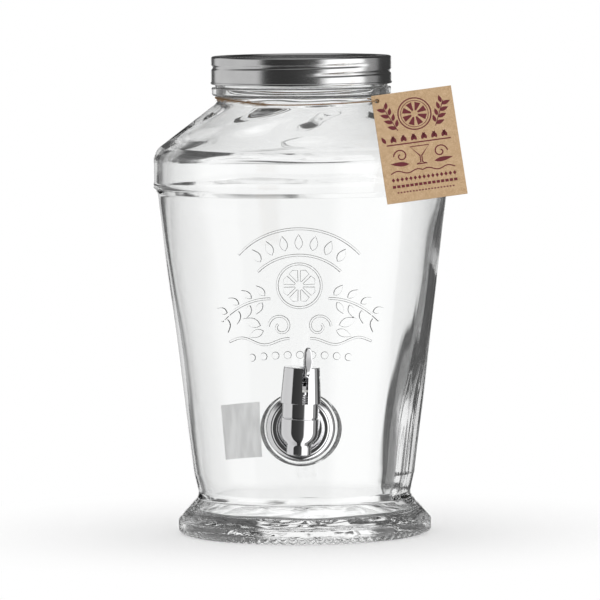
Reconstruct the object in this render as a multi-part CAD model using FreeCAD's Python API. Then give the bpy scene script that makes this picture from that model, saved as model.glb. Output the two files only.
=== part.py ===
import FreeCAD
import Part

import math
import os

# Drinks dispenser: a screw-top glass jar with a lever tap, a twine loop and a card tag.
# Millimetres. +Z is up. The origin is the middle of the circle that the jar stands on,
# and the tap faces -Y.

V = FreeCAD.Vector
X_AXIS = V(1, 0, 0)
Y_AXIS = V(0, 1, 0)
Z_AXIS = V(0, 0, 1)
ORIGIN = V(0, 0, 0)

# ---- Jar: outside radii, from the foot up, and the height of each stretch ----
FOOT_R = 88.3
FOOT_CREST_Z = 10.4
WAIST_R = 73.4
WAIST_RISE = 16.5
TAPER_FOOT_R = 77.2
TAPER_FOOT_RISE = 16.1
TAPER_TOP_R = 101.0
TAPER_HEIGHT = 194.5
BAND_R = 103.5
BAND_STEP = 3.5
BAND_HEIGHT = 24.7
NECK_R = 58.6
SHOULDER_RISE = 33.8
BEAD_R = 62.4
BEAD_GAP = 4.7
BEAD_HEIGHT = 6.0
FINISH_R = 60.0
FINISH_HEIGHT = 19.6

# ---- Jar: outside roundings ----
FOOT_EDGE_R = 5.0
FOOT_CREST_ROUND = 3.5
WAIST_ROUND = 6.0
TAPER_FOOT_ROUND = 25.0
BAND_STEP_ROUND = 1.5
SHOULDER_ROUND = 12.5
NECK_ROUND = 4.0
BEAD_ROUND = 2.7
MOUTH_ROUND = 2.2

# ---- Jar: inside ----
WALL = 4.8
MOUTH_WALL = 5.5
FLOOR_Z = 14.0
FLOOR_R = 78.5
FLOOR_RISE = 2.5
FLOOR_EDGE = 8.0
FLOOR_DOME_ROUND = 30.0
FLOOR_EDGE_ROUND = 20.0
INNER_WAIST_ROUND = 8.0
INNER_TAPER_ROUND = 20.0
INNER_NECK_ROUND = 6.0
PUSH_UP = 3.4
PUSH_UP_R = 74.0
PUSH_UP_DOME = 3.0
DOME_R = 34.0
DOME_ROUND = 20.0

# ---- Base knurl ----
KNURL_COUNT = 86
KNURL_R = 2.4
KNURL_DEPTH = 1.0
KNURL_TILT = 30.0
KNURL_LENGTH = 16.0

# ---- Screw thread of neck and lid ----
PITCH = 6.0
THREAD_TURNS = 1.15
THREAD_DROP = 10.6
THREAD_START_ANGLE = -90.0
GLASS_THREAD_TURNS = 1.1
GLASS_THREAD_LEAD = 0.3
GLASS_THREAD_HEIGHT = 1.4
GLASS_THREAD_FOOT = 2.6
GLASS_THREAD_CREST = 1.2
ROLLED_DEPTH = 0.9
ROLLED_FOOT = 2.6
ROLLED_CREST = 1.2
BITE = 0.4

# ---- Lid ----
LID_GAP = 2.0
LID_SHEET = 0.5
LID_OVER_BEAD = 2.0
HEM_WIRE_R = 0.7
LID_EDGE_ROUND = 1.6
PANEL_INSET = 10.0
PANEL_DROP = 0.8
SEAL_THICKNESS = 1.2
SEAL_SKIRT_GAP = 1.3
SEAL_PANEL_GAP = 0.3
LID_SEAL_GAP = 0.05

# ---- Boss and hole in the glass for the tap ----
TAP_Z = 80.6
BOSS_PROUD = 2.2
BOSS_R = 24.9
BOSS_SLOPE = 0.76
BOSS_DEPTH = 12.0
BOSS_THICKNESS = 10.4
BOSS_EDGE_ROUND = 1.6
PAD_R = 21.0
HOLE_R = 8.6

# ---- Tap: pose ----
TAP_REACH = 31.0
TAP_LEAN = 2.5
BONNET_TURN = 14.5

# ---- Tap body, heights from the shank's axis ----
BARREL_R = 12.2
BARREL_TOP = 19.3
BARREL_FOOT = 9.4
BELLY_R = 12.75
BELLY_FOOT = -3.6
NOZZLE_R = 8.25
NOZZLE_TOP = -9.6
NOZZLE_END = -15.6
BELLY_ROUND = 13.5
NOZZLE_ROUND = 3.0
SPIGOT_R = 11.0
SPIGOT_TOP = 27.5
THREAD_DEPTH = 0.55
FINE_PITCH = 1.6
GUIDE_BORE_R = 8.0
GUIDE_SEAT = 14.0
CHAMBER_R = 7.5
SEAT = -5.5
OUTLET_R = 5.0
INLET_R = 4.5
SHANK_R = 8.0
SHANK_REACH = 26.0
SHANK_THREAD = 13.0
FLANGE_R = 19.8
FLANGE_THICKNESS = 5.0
FLANGE_ROUND = 1.6
DISH_R = 16.1
DISH_DEPTH = 3.0

# ---- Washers and nut ----
OUTER_WASHER_R = 23.4
OUTER_WASHER_THICKNESS = 2.5
OUTER_WASHER_BEVEL = 1.5
INNER_WASHER_R = 17.0
INNER_WASHER_THICKNESS = 2.5
WASHER_BORE_GAP = 0.1
NUT_FLATS = 26.0
NUT_THICKNESS = 9.0
NUT_FLANGE_R = 16.0
NUT_FLANGE_THICKNESS = 2.5
THREAD_GAP = 0.05

# ---- Bonnet ----
BONNET_FOOT_R = 13.85
BONNET_TOP_R = 12.2
BONNET_TOP = 43.9
BONNET_CEILING = 42.6
BONNET_BORE_R = 4.0
BONNET_EDGE_ROUND = 0.7
SLOT_WIDTH = 4.2
SLOT_FLOOR = 31.5
SLOT_BACK = 1.0
SLOT_FRONT_DEPTH = 9.5
GASKET_THICKNESS = 1.5
GASKET_BORE_R = 5.0

# ---- Lever and pin ----
PIN_FORWARD = 5.6
PIN_HEIGHT = 37.0
PIN_R = 1.2
PIN_GAP = 0.05
PIN_INSET = 0.3
PIN_BLIND_END = 8.0
LEVER_THICKNESS = 3.0
PADDLE_WIDTH = 6.1
LEVER_TOP = 56.2
LEVER_REACH = 60.0
EYE_R = 2.2
FINGER_R = 1.4
FINGER_HEIGHT = 36.5
FINGER_NECK = 0.9

# ---- Valve ----
STEM_R = 2.5
STEM_GAP = 0.05
HEAD_R = 3.2
HEAD_TOP = 39.6
WINDOW_WIDTH = 4.0
WINDOW_FOOT = 33.9
FINGER_GAP = 0.08
SPRING_COLLAR_R = 4.6
SPRING_COLLAR_THICKNESS = 1.2
SEAL_R = 6.9
SEAL_HEIGHT = 3.0
STEM_FOOT_R = 2.0
STEM_FOOT_DEPTH = 2.0
GUIDE_GAP = 0.05
O_RING_R = 0.93
O_RING_HEIGHT = 21.0
O_RING_GROOVE = 2.0
SPRING_WIRE_R = 0.45
SPRING_COIL_R = 3.9
SPRING_TURNS = 7

# ---- Paper label on the back wall ----
LABEL_Z = 45.5
LABEL_HEIGHT = 39.0
LABEL_FROM = 115.0
LABEL_TO = 140.0
LABEL_THICKNESS = 0.25
LABEL_GAP = 0.1

# ---- How far the loop of twine and its tag are turned round the neck ----
NECK_TURN = 1.6

# ---- Card tag, hung from a hole near its top left corner ----
TAG_WIDTH = 55.0
TAG_HEIGHT = 77.5
TAG_HOLE_X = 51.4
TAG_HOLE_INSET = 28.0
TAG_HOLE_RISE = 2.9
TAG_HOLE_R = 1.6
TAG_HOLE_SIDE = 3.6
TAG_HOLE_TOP = 4.0
TAG_LEAN = 19.6
TAG_TURN = 7.6
CARD = 0.4
LEAF = 0.25
LEAF_GAP = 0.05
LEAF_SIDE_MARGIN = 1.0
LEAF_END_MARGIN = 0.6

# ---- Twine ----
TWINE_R = 0.5
KNOT_R = 1.9
KNOT_AT = V(52.6, -64.0, 301.8)
TWINE_ROUTE = [
    V(52.9, -65.4, 301.9),
    V(55.2, -46.0, 302.2),
    V(58.2, -21.0, 302.7),
    V(60.3, 3.7, 302.9),
    V(55.4, 24.1, 303.0),
    V(43.7, 41.7, 303.1),
    V(26.7, 54.2, 303.0),
    V(6.5, 60.1, 303.1),
    V(-14.5, 58.7, 303.0),
    V(-33.8, 50.1, 303.1),
    V(-49.0, 35.4, 303.0),
    V(-58.1, 16.5, 303.1),
    V(-60.3, -4.5, 302.9),
    V(-55.0, -25.0, 302.6),
    V(-43.4, -42.4, 301.9),
    V(-26.8, -55.5, 299.8),
    V(-4.5, -61.4, 299.4),
    V(17.0, -67.2, 300.2),
    V(34.0, -71.9, 301.2),
    V(43.6, -75.2, 301.9),
    V(48.6, -77.2, 302.3),
    V(51.1, -77.7, 302.6),
    V(51.5, -75.3, 302.3),
    V(51.7, -71.0, 301.9),
    V(52.2, -65.3, 301.8),
]
SHORT_TAIL = [V(52.0, -64.9, 302.4), V(49.0, -67.2, 303.3), V(44.6, -70.0, 303.8)]
LONG_TAIL = [V(53.0, -63.6, 300.6), V(54.4, -62.6, 295.6), V(54.0, -63.2, 290.0)]
ROUND_SHARE = 0.45


# ---------------------------------------------------------------- helpers
def unit(v):
    """v with length 1."""
    return v * (1.0 / v.Length)


def corner(before, at, after, radius, share):
    """The two ends and the middle of the arc that rounds a corner, and its radius."""
    back = before - at
    ahead = after - at
    half_turn = (math.pi - back.getAngle(ahead)) / 2
    reach = share * min(back.Length, ahead.Length)
    if radius is not None:
        reach = min(reach, radius * math.tan(half_turn))
    bend = reach / math.tan(half_turn)
    inward = unit(unit(back) + unit(ahead))
    middle = at + inward * (bend / math.cos(half_turn) - bend)
    return at + unit(back) * reach, middle, at + unit(ahead) * reach, bend


def rounded_face(corners):
    """A flat face with the given corners, each (point, fillet radius)."""
    edges = []
    ends = []
    count = len(corners)
    for i, (at, radius) in enumerate(corners):
        if radius == 0:
            ends.append((at, at))
            continue
        before = corners[i - 1][0]
        after = corners[(i + 1) % count][0]
        start, middle, end, _ = corner(before, at, after, radius, 0.49)
        edges.append(Part.Arc(start, middle, end).toShape())
        ends.append((start, end))
    for i, (_, leave) in enumerate(ends):
        arrive = ends[(i + 1) % count][0]
        if (arrive - leave).Length > 1e-6:
            edges.append(Part.LineSegment(leave, arrive).toShape())
    return Part.Face(Part.Wire(Part.__sortEdges__(edges)))


def turned(corners):
    """A solid of revolution about Z from (radius, height, fillet) corners."""
    face = rounded_face([(V(r, 0, z), fillet) for r, z, fillet in corners])
    return face.revolve(ORIGIN, Z_AXIS, 360)


def along_y(shape):
    """The shape with its Z axis laid along +Y, towards the inside of the jar."""
    laid = shape.copy()
    laid.rotate(ORIGIN, X_AXIS, -90)
    return laid


def at_boss(shape):
    """A shape turned about Z, laid along +Y at the tap's height."""
    laid = along_y(shape)
    laid.translate(V(0, 0, TAP_Z))
    return laid


def disc(radius, low, high, inner=0.0):
    """A cylinder or ring about Z between two heights."""
    solid = Part.makeCylinder(radius, high - low, V(0, 0, low))
    if inner > 0:
        solid = solid.cut(Part.makeCylinder(inner, high - low, V(0, 0, low)))
    return solid


def tap_pose(shape, turned_bonnet=False):
    """A shape of the tap's own frame (+Y into the jar, +Z up the barrel), placed."""
    placed = shape.copy()
    if turned_bonnet:
        placed.rotate(ORIGIN, Z_AXIS, BONNET_TURN)
    placed.rotate(ORIGIN, Y_AXIS, TAP_LEAN)
    placed.translate(V(0, TAP_Y, TAP_Z))
    return placed


def helix_bar(radius, start_z, start_angle, turns, outline):
    """A bar with the outline (radius, height) swept along the screw thread's helix."""
    helix = Part.makeHelix(PITCH, PITCH * turns, radius)
    points = [V(r, 0, z) for r, z in outline]
    section = Part.makePolygon(points + [points[0]])
    bar = Part.Wire(helix).makePipeShell([section], True, True)
    bar.rotate(ORIGIN, Z_AXIS, start_angle)
    bar.translate(V(0, 0, start_z))
    return bar


def tube(route, radius):
    """A round tube along straight runs and tangent arcs, and its arcs' radii."""
    edges = []
    radii = []
    leave = route[0]
    for before, at, after in zip(route, route[1:], route[2:]):
        start, middle, end, bend = corner(before, at, after, None, ROUND_SHARE)
        edges.append(Part.LineSegment(leave, start).toShape())
        edges.append(Part.Arc(start, middle, end).toShape())
        radii.append(bend)
        leave = end
    edges.append(Part.LineSegment(leave, route[-1]).toShape())
    path = Part.Wire(edges)
    circle = Part.makeCircle(radius, route[0], route[1] - route[0])
    solid = path.makePipeShell([Part.Wire(circle)], True, False)
    return solid, path.Length, radii


def one_solid(shape):
    """The shape's only solid."""
    merged = shape.removeSplitter()
    if len(merged.Solids) != 1:
        raise ValueError("expected one solid, found %d" % len(merged.Solids))
    return merged.Solids[0]


# ---------------------------------------------------------------- sizes that follow
WAIST_Z = FOOT_CREST_Z + WAIST_RISE
TAPER_FOOT_Z = WAIST_Z + TAPER_FOOT_RISE
TAPER_TOP_Z = TAPER_FOOT_Z + TAPER_HEIGHT
BAND_FOOT_Z = TAPER_TOP_Z + BAND_STEP
SHOULDER_Z = BAND_FOOT_Z + BAND_HEIGHT
NECK_Z = SHOULDER_Z + SHOULDER_RISE
BEAD_BOTTOM_Z = NECK_Z + BEAD_GAP
BEAD_TOP_Z = BEAD_BOTTOM_Z + BEAD_HEIGHT
JAR_TOP_Z = BEAD_TOP_Z + FINISH_HEIGHT
MOUTH_R = FINISH_R - MOUTH_WALL
THREAD_START_Z = JAR_TOP_Z - THREAD_DROP
LID_R = FINISH_R + LID_GAP + LID_SHEET
LID_BOTTOM_Z = BEAD_TOP_Z + LID_OVER_BEAD
LID_TOP_Z = JAR_TOP_Z + SEAL_THICKNESS + LID_SEAL_GAP + LID_SHEET
PANEL_R = LID_R - PANEL_INSET


def taper_radius(z):
    """The outside radius of the tapered body at a height."""
    share = (z - TAPER_FOOT_Z) / TAPER_HEIGHT
    return TAPER_FOOT_R + share * (TAPER_TOP_R - TAPER_FOOT_R)


BOSS_FACE_Y = -taper_radius(TAP_Z) - BOSS_PROUD
TAP_Y = BOSS_FACE_Y - TAP_REACH
SHANK_END_Y = BOSS_FACE_Y + SHANK_REACH
FLANGE_BACK_Y = BOSS_FACE_Y - OUTER_WASHER_THICKNESS
PAD_FACE_Y = BOSS_FACE_Y + BOSS_THICKNESS
NUT_Y = PAD_FACE_Y + INNER_WASHER_THICKNESS
SOCKET_CEILING = SPIGOT_TOP + GASKET_THICKNESS
WINDOW_TOP = FINGER_HEIGHT + FINGER_R + FINGER_GAP
SEAL_TOP = SEAT + SEAL_HEIGHT
COLLAR_TOP = SEAL_TOP + SPRING_COLLAR_THICKNESS
TAG_HOLE = V(TAG_HOLE_X, TAG_HOLE_INSET - BAND_R, NECK_Z + TAG_HOLE_RISE)
TAG_DEPTH = 2 * CARD + LEAF + 2 * LEAF_GAP


def wall_inset(r_low, z_low, r_high, z_high):
    """How far a sloping wall's inside lies from its outside, measured level."""
    return WALL * math.hypot(r_high - r_low, z_high - z_low) / abs(z_high - z_low)


# ---------------------------------------------------------------- jar
def jar_outside():
    """The solid inside the jar's outer surface."""
    return turned([
        (0, PUSH_UP + PUSH_UP_DOME, 0),
        (DOME_R, PUSH_UP + PUSH_UP_DOME, DOME_ROUND),
        (PUSH_UP_R, PUSH_UP, 2.0),
        (PUSH_UP_R + PUSH_UP / 2, 0, 1.2),
        (FOOT_R, 0, FOOT_EDGE_R),
        (FOOT_R, FOOT_CREST_Z, FOOT_CREST_ROUND),
        (WAIST_R, WAIST_Z, WAIST_ROUND),
        (TAPER_FOOT_R, TAPER_FOOT_Z, TAPER_FOOT_ROUND),
        (TAPER_TOP_R, TAPER_TOP_Z, BAND_STEP_ROUND),
        (BAND_R, BAND_FOOT_Z, BAND_STEP_ROUND),
        (BAND_R, SHOULDER_Z, SHOULDER_ROUND),
        (NECK_R, NECK_Z, NECK_ROUND),
        (NECK_R, BEAD_BOTTOM_Z, 0.6),
        (BEAD_R, BEAD_BOTTOM_Z, BEAD_ROUND),
        (BEAD_R, BEAD_TOP_Z, BEAD_ROUND),
        (FINISH_R, BEAD_TOP_Z, 0.8),
        (FINISH_R, JAR_TOP_Z, MOUTH_ROUND),
        (0, JAR_TOP_Z, 0),
    ])


def jar_inside():
    """The hollow of the jar, up through its mouth."""
    taper_inset = wall_inset(TAPER_FOOT_R, TAPER_FOOT_Z, TAPER_TOP_R, TAPER_TOP_Z)
    slope = SHOULDER_RISE / (BAND_R - NECK_R)
    drop = WALL * math.sqrt(1 + slope * slope)
    band_r = BAND_R - WALL
    shoulder_z = SHOULDER_Z - drop + slope * WALL
    neck_z = SHOULDER_Z - drop + slope * (BAND_R - MOUTH_R)
    return turned([
        (0, FLOOR_Z + FLOOR_RISE, 0),
        (DOME_R, FLOOR_Z + FLOOR_RISE, FLOOR_DOME_ROUND),
        (FLOOR_R - FLOOR_EDGE, FLOOR_Z, FLOOR_EDGE_ROUND),
        (FLOOR_R, FLOOR_Z, 4.0),
        (WAIST_R - WALL + 0.4, WAIST_Z + 1.1, INNER_WAIST_ROUND),
        (TAPER_FOOT_R - taper_inset, TAPER_FOOT_Z, INNER_TAPER_ROUND),
        (TAPER_TOP_R - taper_inset, TAPER_TOP_Z, 3.0),
        (band_r, BAND_FOOT_Z + WALL / 2, 3.0),
        (band_r, shoulder_z, SHOULDER_ROUND - WALL / 2),
        (MOUTH_R, neck_z, INNER_NECK_ROUND),
        (MOUTH_R, JAR_TOP_Z + 1, 0),
        (0, JAR_TOP_Z + 1, 0),
    ])


def knurl_cutters():
    """Round grooves that leave bumps along the lower edge of the foot."""
    tilt = math.radians(KNURL_TILT)
    out = V(math.sin(tilt), 0, -math.cos(tilt))
    along = V(math.cos(tilt), 0, math.sin(tilt))
    edge_centre = V(FOOT_R - FOOT_EDGE_R, 0, FOOT_EDGE_R)
    middle = edge_centre + out * (FOOT_EDGE_R + KNURL_R - KNURL_DEPTH)
    start = middle - along * (KNURL_LENGTH / 2)
    first = Part.makeCylinder(KNURL_R, KNURL_LENGTH, start, along)
    cutters = []
    for i in range(KNURL_COUNT):
        cutter = first.copy()
        cutter.rotate(ORIGIN, Z_AXIS, 360.0 * i / KNURL_COUNT)
        cutters.append(cutter)
    return Part.makeCompound(cutters)


def glass_thread():
    """The raised thread on the neck, half a pitch above the lid's rolled thread."""
    foot = GLASS_THREAD_FOOT / 2
    crest = GLASS_THREAD_CREST / 2
    inner = FINISH_R - BITE
    outer = FINISH_R + GLASS_THREAD_HEIGHT
    outline = [(inner, -foot), (outer, -crest), (outer, crest), (inner, foot)]
    start_z = THREAD_START_Z + PITCH * (0.5 - GLASS_THREAD_LEAD)
    start_angle = THREAD_START_ANGLE - 360 * GLASS_THREAD_LEAD
    return helix_bar(FINISH_R, start_z, start_angle, GLASS_THREAD_TURNS, outline)


def boss():
    """The raised flat seat for the tap on the jar's outside, with sloping sides."""
    seat = turned([
        (0, 0, 0),
        (BOSS_R, 0, BOSS_EDGE_ROUND),
        (BOSS_R + BOSS_SLOPE * BOSS_DEPTH, BOSS_DEPTH, 0),
        (0, BOSS_DEPTH, 0),
    ])
    seat.translate(V(0, 0, BOSS_FACE_Y))
    return at_boss(seat)


def glass_jar():
    """The moulded jar with its thread, tap seat, tap hole and knurled foot."""
    seat_front = at_boss(disc(BOSS_R, BOSS_FACE_Y - BOSS_R, BOSS_FACE_Y))
    pad = at_boss(disc(PAD_R, BOSS_FACE_Y + WALL / 2, PAD_FACE_Y))
    hole = at_boss(disc(HOLE_R, BOSS_FACE_Y - 1, PAD_FACE_Y + 1))
    jar = jar_outside().fuse(boss()).cut(seat_front)
    jar = jar.cut(jar_inside()).fuse(pad).cut(hole)
    jar = jar.cut(knurl_cutters())
    return one_solid(jar.fuse(glass_thread()))


# ---------------------------------------------------------------- lid
def lid_shell():
    """The pressed lid: skirt with a rolled thread, curled hem and dropped panel."""
    inner_r = LID_R - LID_SHEET
    roof = LID_TOP_Z - LID_SHEET
    hem_z = LID_BOTTOM_Z + HEM_WIRE_R
    shell = turned([
        (0, roof - PANEL_DROP, 0),
        (PANEL_R, roof - PANEL_DROP, 0),
        (PANEL_R + PANEL_DROP, roof, 0),
        (inner_r, roof, LID_EDGE_ROUND - LID_SHEET),
        (inner_r, hem_z, 0),
        (LID_R, hem_z, 0),
        (LID_R, LID_TOP_Z, LID_EDGE_ROUND),
        (PANEL_R + PANEL_DROP, LID_TOP_Z, 0),
        (PANEL_R, LID_TOP_Z - PANEL_DROP, 0),
        (0, LID_TOP_Z - PANEL_DROP, 0),
    ])
    hem_r = LID_R - LID_SHEET / 2
    hem = Part.makeTorus(hem_r, HEM_WIRE_R, V(0, 0, hem_z), Z_AXIS)
    foot = ROLLED_FOOT / 2
    crest = ROLLED_CREST / 2
    inside = [
        (inner_r + LID_SHEET / 2, -foot),
        (inner_r - ROLLED_DEPTH, -crest),
        (inner_r - ROLLED_DEPTH, crest),
        (inner_r + LID_SHEET / 2, foot),
    ]
    outside = [
        (LID_R + BITE, -foot),
        (LID_R - ROLLED_DEPTH, -crest),
        (LID_R - ROLLED_DEPTH, crest),
        (LID_R + BITE, foot),
    ]
    rib = helix_bar(inner_r, THREAD_START_Z, THREAD_START_ANGLE, THREAD_TURNS, inside)
    groove = helix_bar(LID_R, THREAD_START_Z, THREAD_START_ANGLE, THREAD_TURNS, outside)
    return one_solid(shell.fuse(hem).fuse(rib).cut(groove))


def lid_seal():
    """The soft ring between the lid and the rim of the glass."""
    outer = LID_R - LID_SHEET - SEAL_SKIRT_GAP
    inner = PANEL_R + PANEL_DROP + SEAL_PANEL_GAP
    return disc(outer, JAR_TOP_Z, JAR_TOP_Z + SEAL_THICKNESS, inner)


# ---------------------------------------------------------------- tap
def thread_rings(radius, low, high):
    """Corners (radius, height, fillet) of a fine thread, drawn as closed rings."""
    rings = []
    z = low
    while z + FINE_PITCH <= high + 1e-6:
        rings.append((radius, z, 0))
        rings.append((radius - THREAD_DEPTH, z + FINE_PITCH / 2, 0))
        z += FINE_PITCH
    rings.append((radius, z, 0))
    return rings


def barrel():
    """Nozzle, belly, barrel and the threaded spigot under the bonnet."""
    corners = [
        (0, NOZZLE_END, 0),
        (NOZZLE_R, NOZZLE_END, 0.5),
        (NOZZLE_R, NOZZLE_TOP, NOZZLE_ROUND),
        (BELLY_R, BELLY_FOOT, BELLY_ROUND),
        (BELLY_R, BARREL_FOOT - 0.6, 0.6),
        (BARREL_R - 0.5, BARREL_FOOT, 0),
        (BARREL_R, BARREL_FOOT + 0.5, 0),
        (BARREL_R, BARREL_TOP, 0),
    ]
    corners += thread_rings(SPIGOT_R, BARREL_TOP, SPIGOT_TOP - 1)
    corners += [(SPIGOT_R, SPIGOT_TOP, 0), (0, SPIGOT_TOP, 0)]
    return turned(corners)


def shank():
    """The dished flange and the threaded tube that passes through the glass."""
    back = FLANGE_BACK_Y - TAP_Y
    front = back - FLANGE_THICKNESS
    end = SHANK_END_Y - TAP_Y
    corners = [
        (0, 0, 0),
        (SHANK_R, 0, 0),
        (SHANK_R, front + DISH_DEPTH, 0.8),
        (DISH_R - 1.2, front + DISH_DEPTH, 0.8),
        (DISH_R, front, 0.6),
        (FLANGE_R, front, FLANGE_ROUND),
        (FLANGE_R, back, 0.5),
        (SHANK_R, back, 0),
    ]
    corners += thread_rings(SHANK_R, end - SHANK_THREAD, end - 1)
    corners += [(SHANK_R, end, 0), (0, end, 0)]
    return along_y(turned(corners))


def tap_body():
    """Barrel and shank in one piece, bored for the valve and the liquid."""
    end = SHANK_END_Y - TAP_Y
    solid = barrel().fuse(shank())
    solid = solid.cut(disc(GUIDE_BORE_R, GUIDE_SEAT, SPIGOT_TOP + 1))
    solid = solid.cut(disc(CHAMBER_R, SEAT, GUIDE_SEAT + 0.1))
    solid = solid.cut(disc(OUTLET_R, NOZZLE_END - 1, SEAT + 0.1))
    solid = solid.cut(along_y(disc(INLET_R, 0, end + 1)))
    return tap_pose(one_solid(solid))


def outer_washer():
    """The bevelled washer between the flange and the glass."""
    bore = SHANK_R + WASHER_BORE_GAP
    washer = turned([
        (bore, FLANGE_BACK_Y, 0),
        (OUTER_WASHER_R - OUTER_WASHER_BEVEL, FLANGE_BACK_Y, 0.5),
        (OUTER_WASHER_R, BOSS_FACE_Y - 0.8, 0.4),
        (OUTER_WASHER_R, BOSS_FACE_Y, 0),
        (bore, BOSS_FACE_Y, 0),
    ])
    return at_boss(washer)


def inner_washer():
    """The soft washer between the nut and the inside of the glass."""
    bore = SHANK_R + WASHER_BORE_GAP
    return at_boss(disc(INNER_WASHER_R, PAD_FACE_Y, NUT_Y, bore))


def tap_nut():
    """The flanged hexagon nut on the shank."""
    corner_r = NUT_FLATS / math.sqrt(3)
    points = []
    for i in range(7):
        angle = math.radians(60 * i)
        points.append(V(corner_r * math.cos(angle), corner_r * math.sin(angle), NUT_Y))
    hexagon = Part.Face(Part.makePolygon(points)).extrude(V(0, 0, NUT_THICKNESS))
    chamfer = turned([
        (0, NUT_Y, 0),
        (corner_r, NUT_Y, 0),
        (corner_r, NUT_Y + NUT_THICKNESS - 1.6, 0),
        (NUT_FLATS / 2 - 0.4, NUT_Y + NUT_THICKNESS, 0),
        (0, NUT_Y + NUT_THICKNESS, 0),
    ])
    flange = disc(NUT_FLANGE_R, NUT_Y, NUT_Y + NUT_FLANGE_THICKNESS)
    nut = hexagon.common(chamfer).fuse(flange)
    bore = disc(SHANK_R + THREAD_GAP, NUT_Y - 1, NUT_Y + NUT_THICKNESS + 1)
    return one_solid(at_boss(nut.cut(bore)))


def bonnet_gasket():
    """The flat ring that the bonnet presses on the spigot and the stem's guide."""
    ring = disc(SPIGOT_R - 0.2, SPIGOT_TOP, SOCKET_CEILING, GASKET_BORE_R)
    return tap_pose(ring)


def lever_slot():
    """The space that the lever moves in, through the bonnet's roof and front."""
    half = SLOT_WIDTH / 2
    reach = BONNET_FOOT_R + 2
    top = BONNET_TOP + 2
    middle = Part.makeBox(SLOT_WIDTH, reach + SLOT_BACK, top - SLOT_FLOOR,
                          V(-half, -reach, SLOT_FLOOR))
    front = Part.makeBox(SLOT_WIDTH, reach - SLOT_FRONT_DEPTH, top,
                         V(-half, -reach, 0))
    return middle.fuse(front)


def bonnet():
    """The slotted cap on the barrel, drilled from one side for the lever's pin."""
    cap = turned([
        (0, BARREL_TOP, 0),
        (BONNET_FOOT_R, BARREL_TOP, 0.4),
        (BONNET_TOP_R, BONNET_TOP, BONNET_EDGE_ROUND),
        (0, BONNET_TOP, 0),
    ])
    cap = cap.cut(disc(SPIGOT_R + THREAD_GAP, BARREL_TOP - 1, SOCKET_CEILING))
    cap = cap.cut(disc(BONNET_BORE_R, SOCKET_CEILING - 1, BONNET_CEILING))
    cap = cap.cut(lever_slot())
    pin_hole = Part.makeCylinder(PIN_R, 2 * BONNET_FOOT_R,
                                 V(-PIN_BLIND_END, -PIN_FORWARD, PIN_HEIGHT), X_AXIS)
    return tap_pose(one_solid(cap.cut(pin_hole)), turned_bonnet=True)


def lever_pin():
    """The pin across the bonnet that the lever turns on, blind at its left end."""
    share = (PIN_HEIGHT - BARREL_TOP) / (BONNET_TOP - BARREL_TOP)
    bonnet_r = BONNET_FOOT_R + share * (BONNET_TOP_R - BONNET_FOOT_R)
    open_end = math.sqrt(bonnet_r ** 2 - (PIN_FORWARD + PIN_R) ** 2) - PIN_INSET
    pin = Part.makeCylinder(PIN_R, PIN_BLIND_END + open_end,
                            V(-PIN_BLIND_END, -PIN_FORWARD, PIN_HEIGHT), X_AXIS)
    return tap_pose(pin, turned_bonnet=True)


def lever_side():
    """The lever seen from its side, as a flat face at x = 0."""
    forward = PIN_FORWARD
    up = PIN_HEIGHT
    top = LEVER_TOP
    blade = [
        (forward - 1.2, up + 1.6, 0),
        (forward + 5.5, up + 3.4, 4.0),
        (forward + 9.8, up + 6.2, 5.0),
        (forward + 11.4, up + 12.0, 10.0),
        (forward + 10.4, top, 1.1),
        (forward + 12.8, top, 1.1),
        (forward + 14.6, up + 12.0, 14.0),
        (forward + 14.2, up + 4.2, 6.0),
        (forward + 10.2, up + 0.8, 4.0),
        (forward + 5.9, up - 0.2, 5.0),
        (forward + 1.2, up - 1.6, 0),
    ]
    return rounded_face([(V(0, -u, w), fillet) for u, w, fillet in blade])


def lever_front():
    """The lever seen from the front, as a flat face at y = 0."""
    thin = LEVER_THICKNESS / 2
    wide = PADDLE_WIDTH / 2
    top = LEVER_TOP + 0.01
    right = [
        (thin, FINGER_HEIGHT - 10, 0),
        (thin, PIN_HEIGHT + 3.6, 6.0),
        (wide, LEVER_TOP - 9.0, 8.0),
        (0.8 * wide, LEVER_TOP - 2.2, 3.0),
        (0.3 * wide, top, 0),
    ]
    left = [(-x, z, fillet) for x, z, fillet in reversed(right)]
    return rounded_face([(V(x, 0, z), fillet) for x, z, fillet in right + left])


def lever():
    """The lever: paddle, eye round the pin and the finger that lifts the stem."""
    thin = LEVER_THICKNESS / 2
    side = lever_side().extrude(V(PADDLE_WIDTH, 0, 0))
    side.translate(V(-PADDLE_WIDTH / 2, 0, 0))
    front = lever_front().extrude(V(0, -LEVER_REACH, 0))
    blade = side.common(front)
    eye_at = V(-thin, -PIN_FORWARD, PIN_HEIGHT)
    finger_at = V(-thin, 0, FINGER_HEIGHT)
    eye = Part.makeCylinder(EYE_R, LEVER_THICKNESS, eye_at, X_AXIS)
    finger = Part.makeCylinder(FINGER_R, LEVER_THICKNESS, finger_at, X_AXIS)
    across = V(0, 0, FINGER_NECK)
    neck = Part.Face(Part.makePolygon([
        finger_at - across, eye_at - across, eye_at + across, finger_at + across,
        finger_at - across,
    ])).extrude(V(LEVER_THICKNESS, 0, 0))
    solid = blade.fuse(eye).fuse(neck).fuse(finger)
    bore = Part.makeCylinder(PIN_R + PIN_GAP, LEVER_THICKNESS + 2,
                             eye_at - V(1, 0, 0), X_AXIS)
    return tap_pose(one_solid(solid.cut(bore)), turned_bonnet=True)


def stem_guide():
    """The bush in the barrel that the stem slides in, grooved for its O-ring."""
    bore = STEM_R + STEM_GAP
    bush = disc(GUIDE_BORE_R - GUIDE_GAP, GUIDE_SEAT, SPIGOT_TOP, bore)
    low = O_RING_HEIGHT - O_RING_GROOVE / 2
    groove = disc(bore + 2 * O_RING_R, low, low + O_RING_GROOVE)
    return tap_pose(one_solid(bush.cut(groove)))


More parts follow.
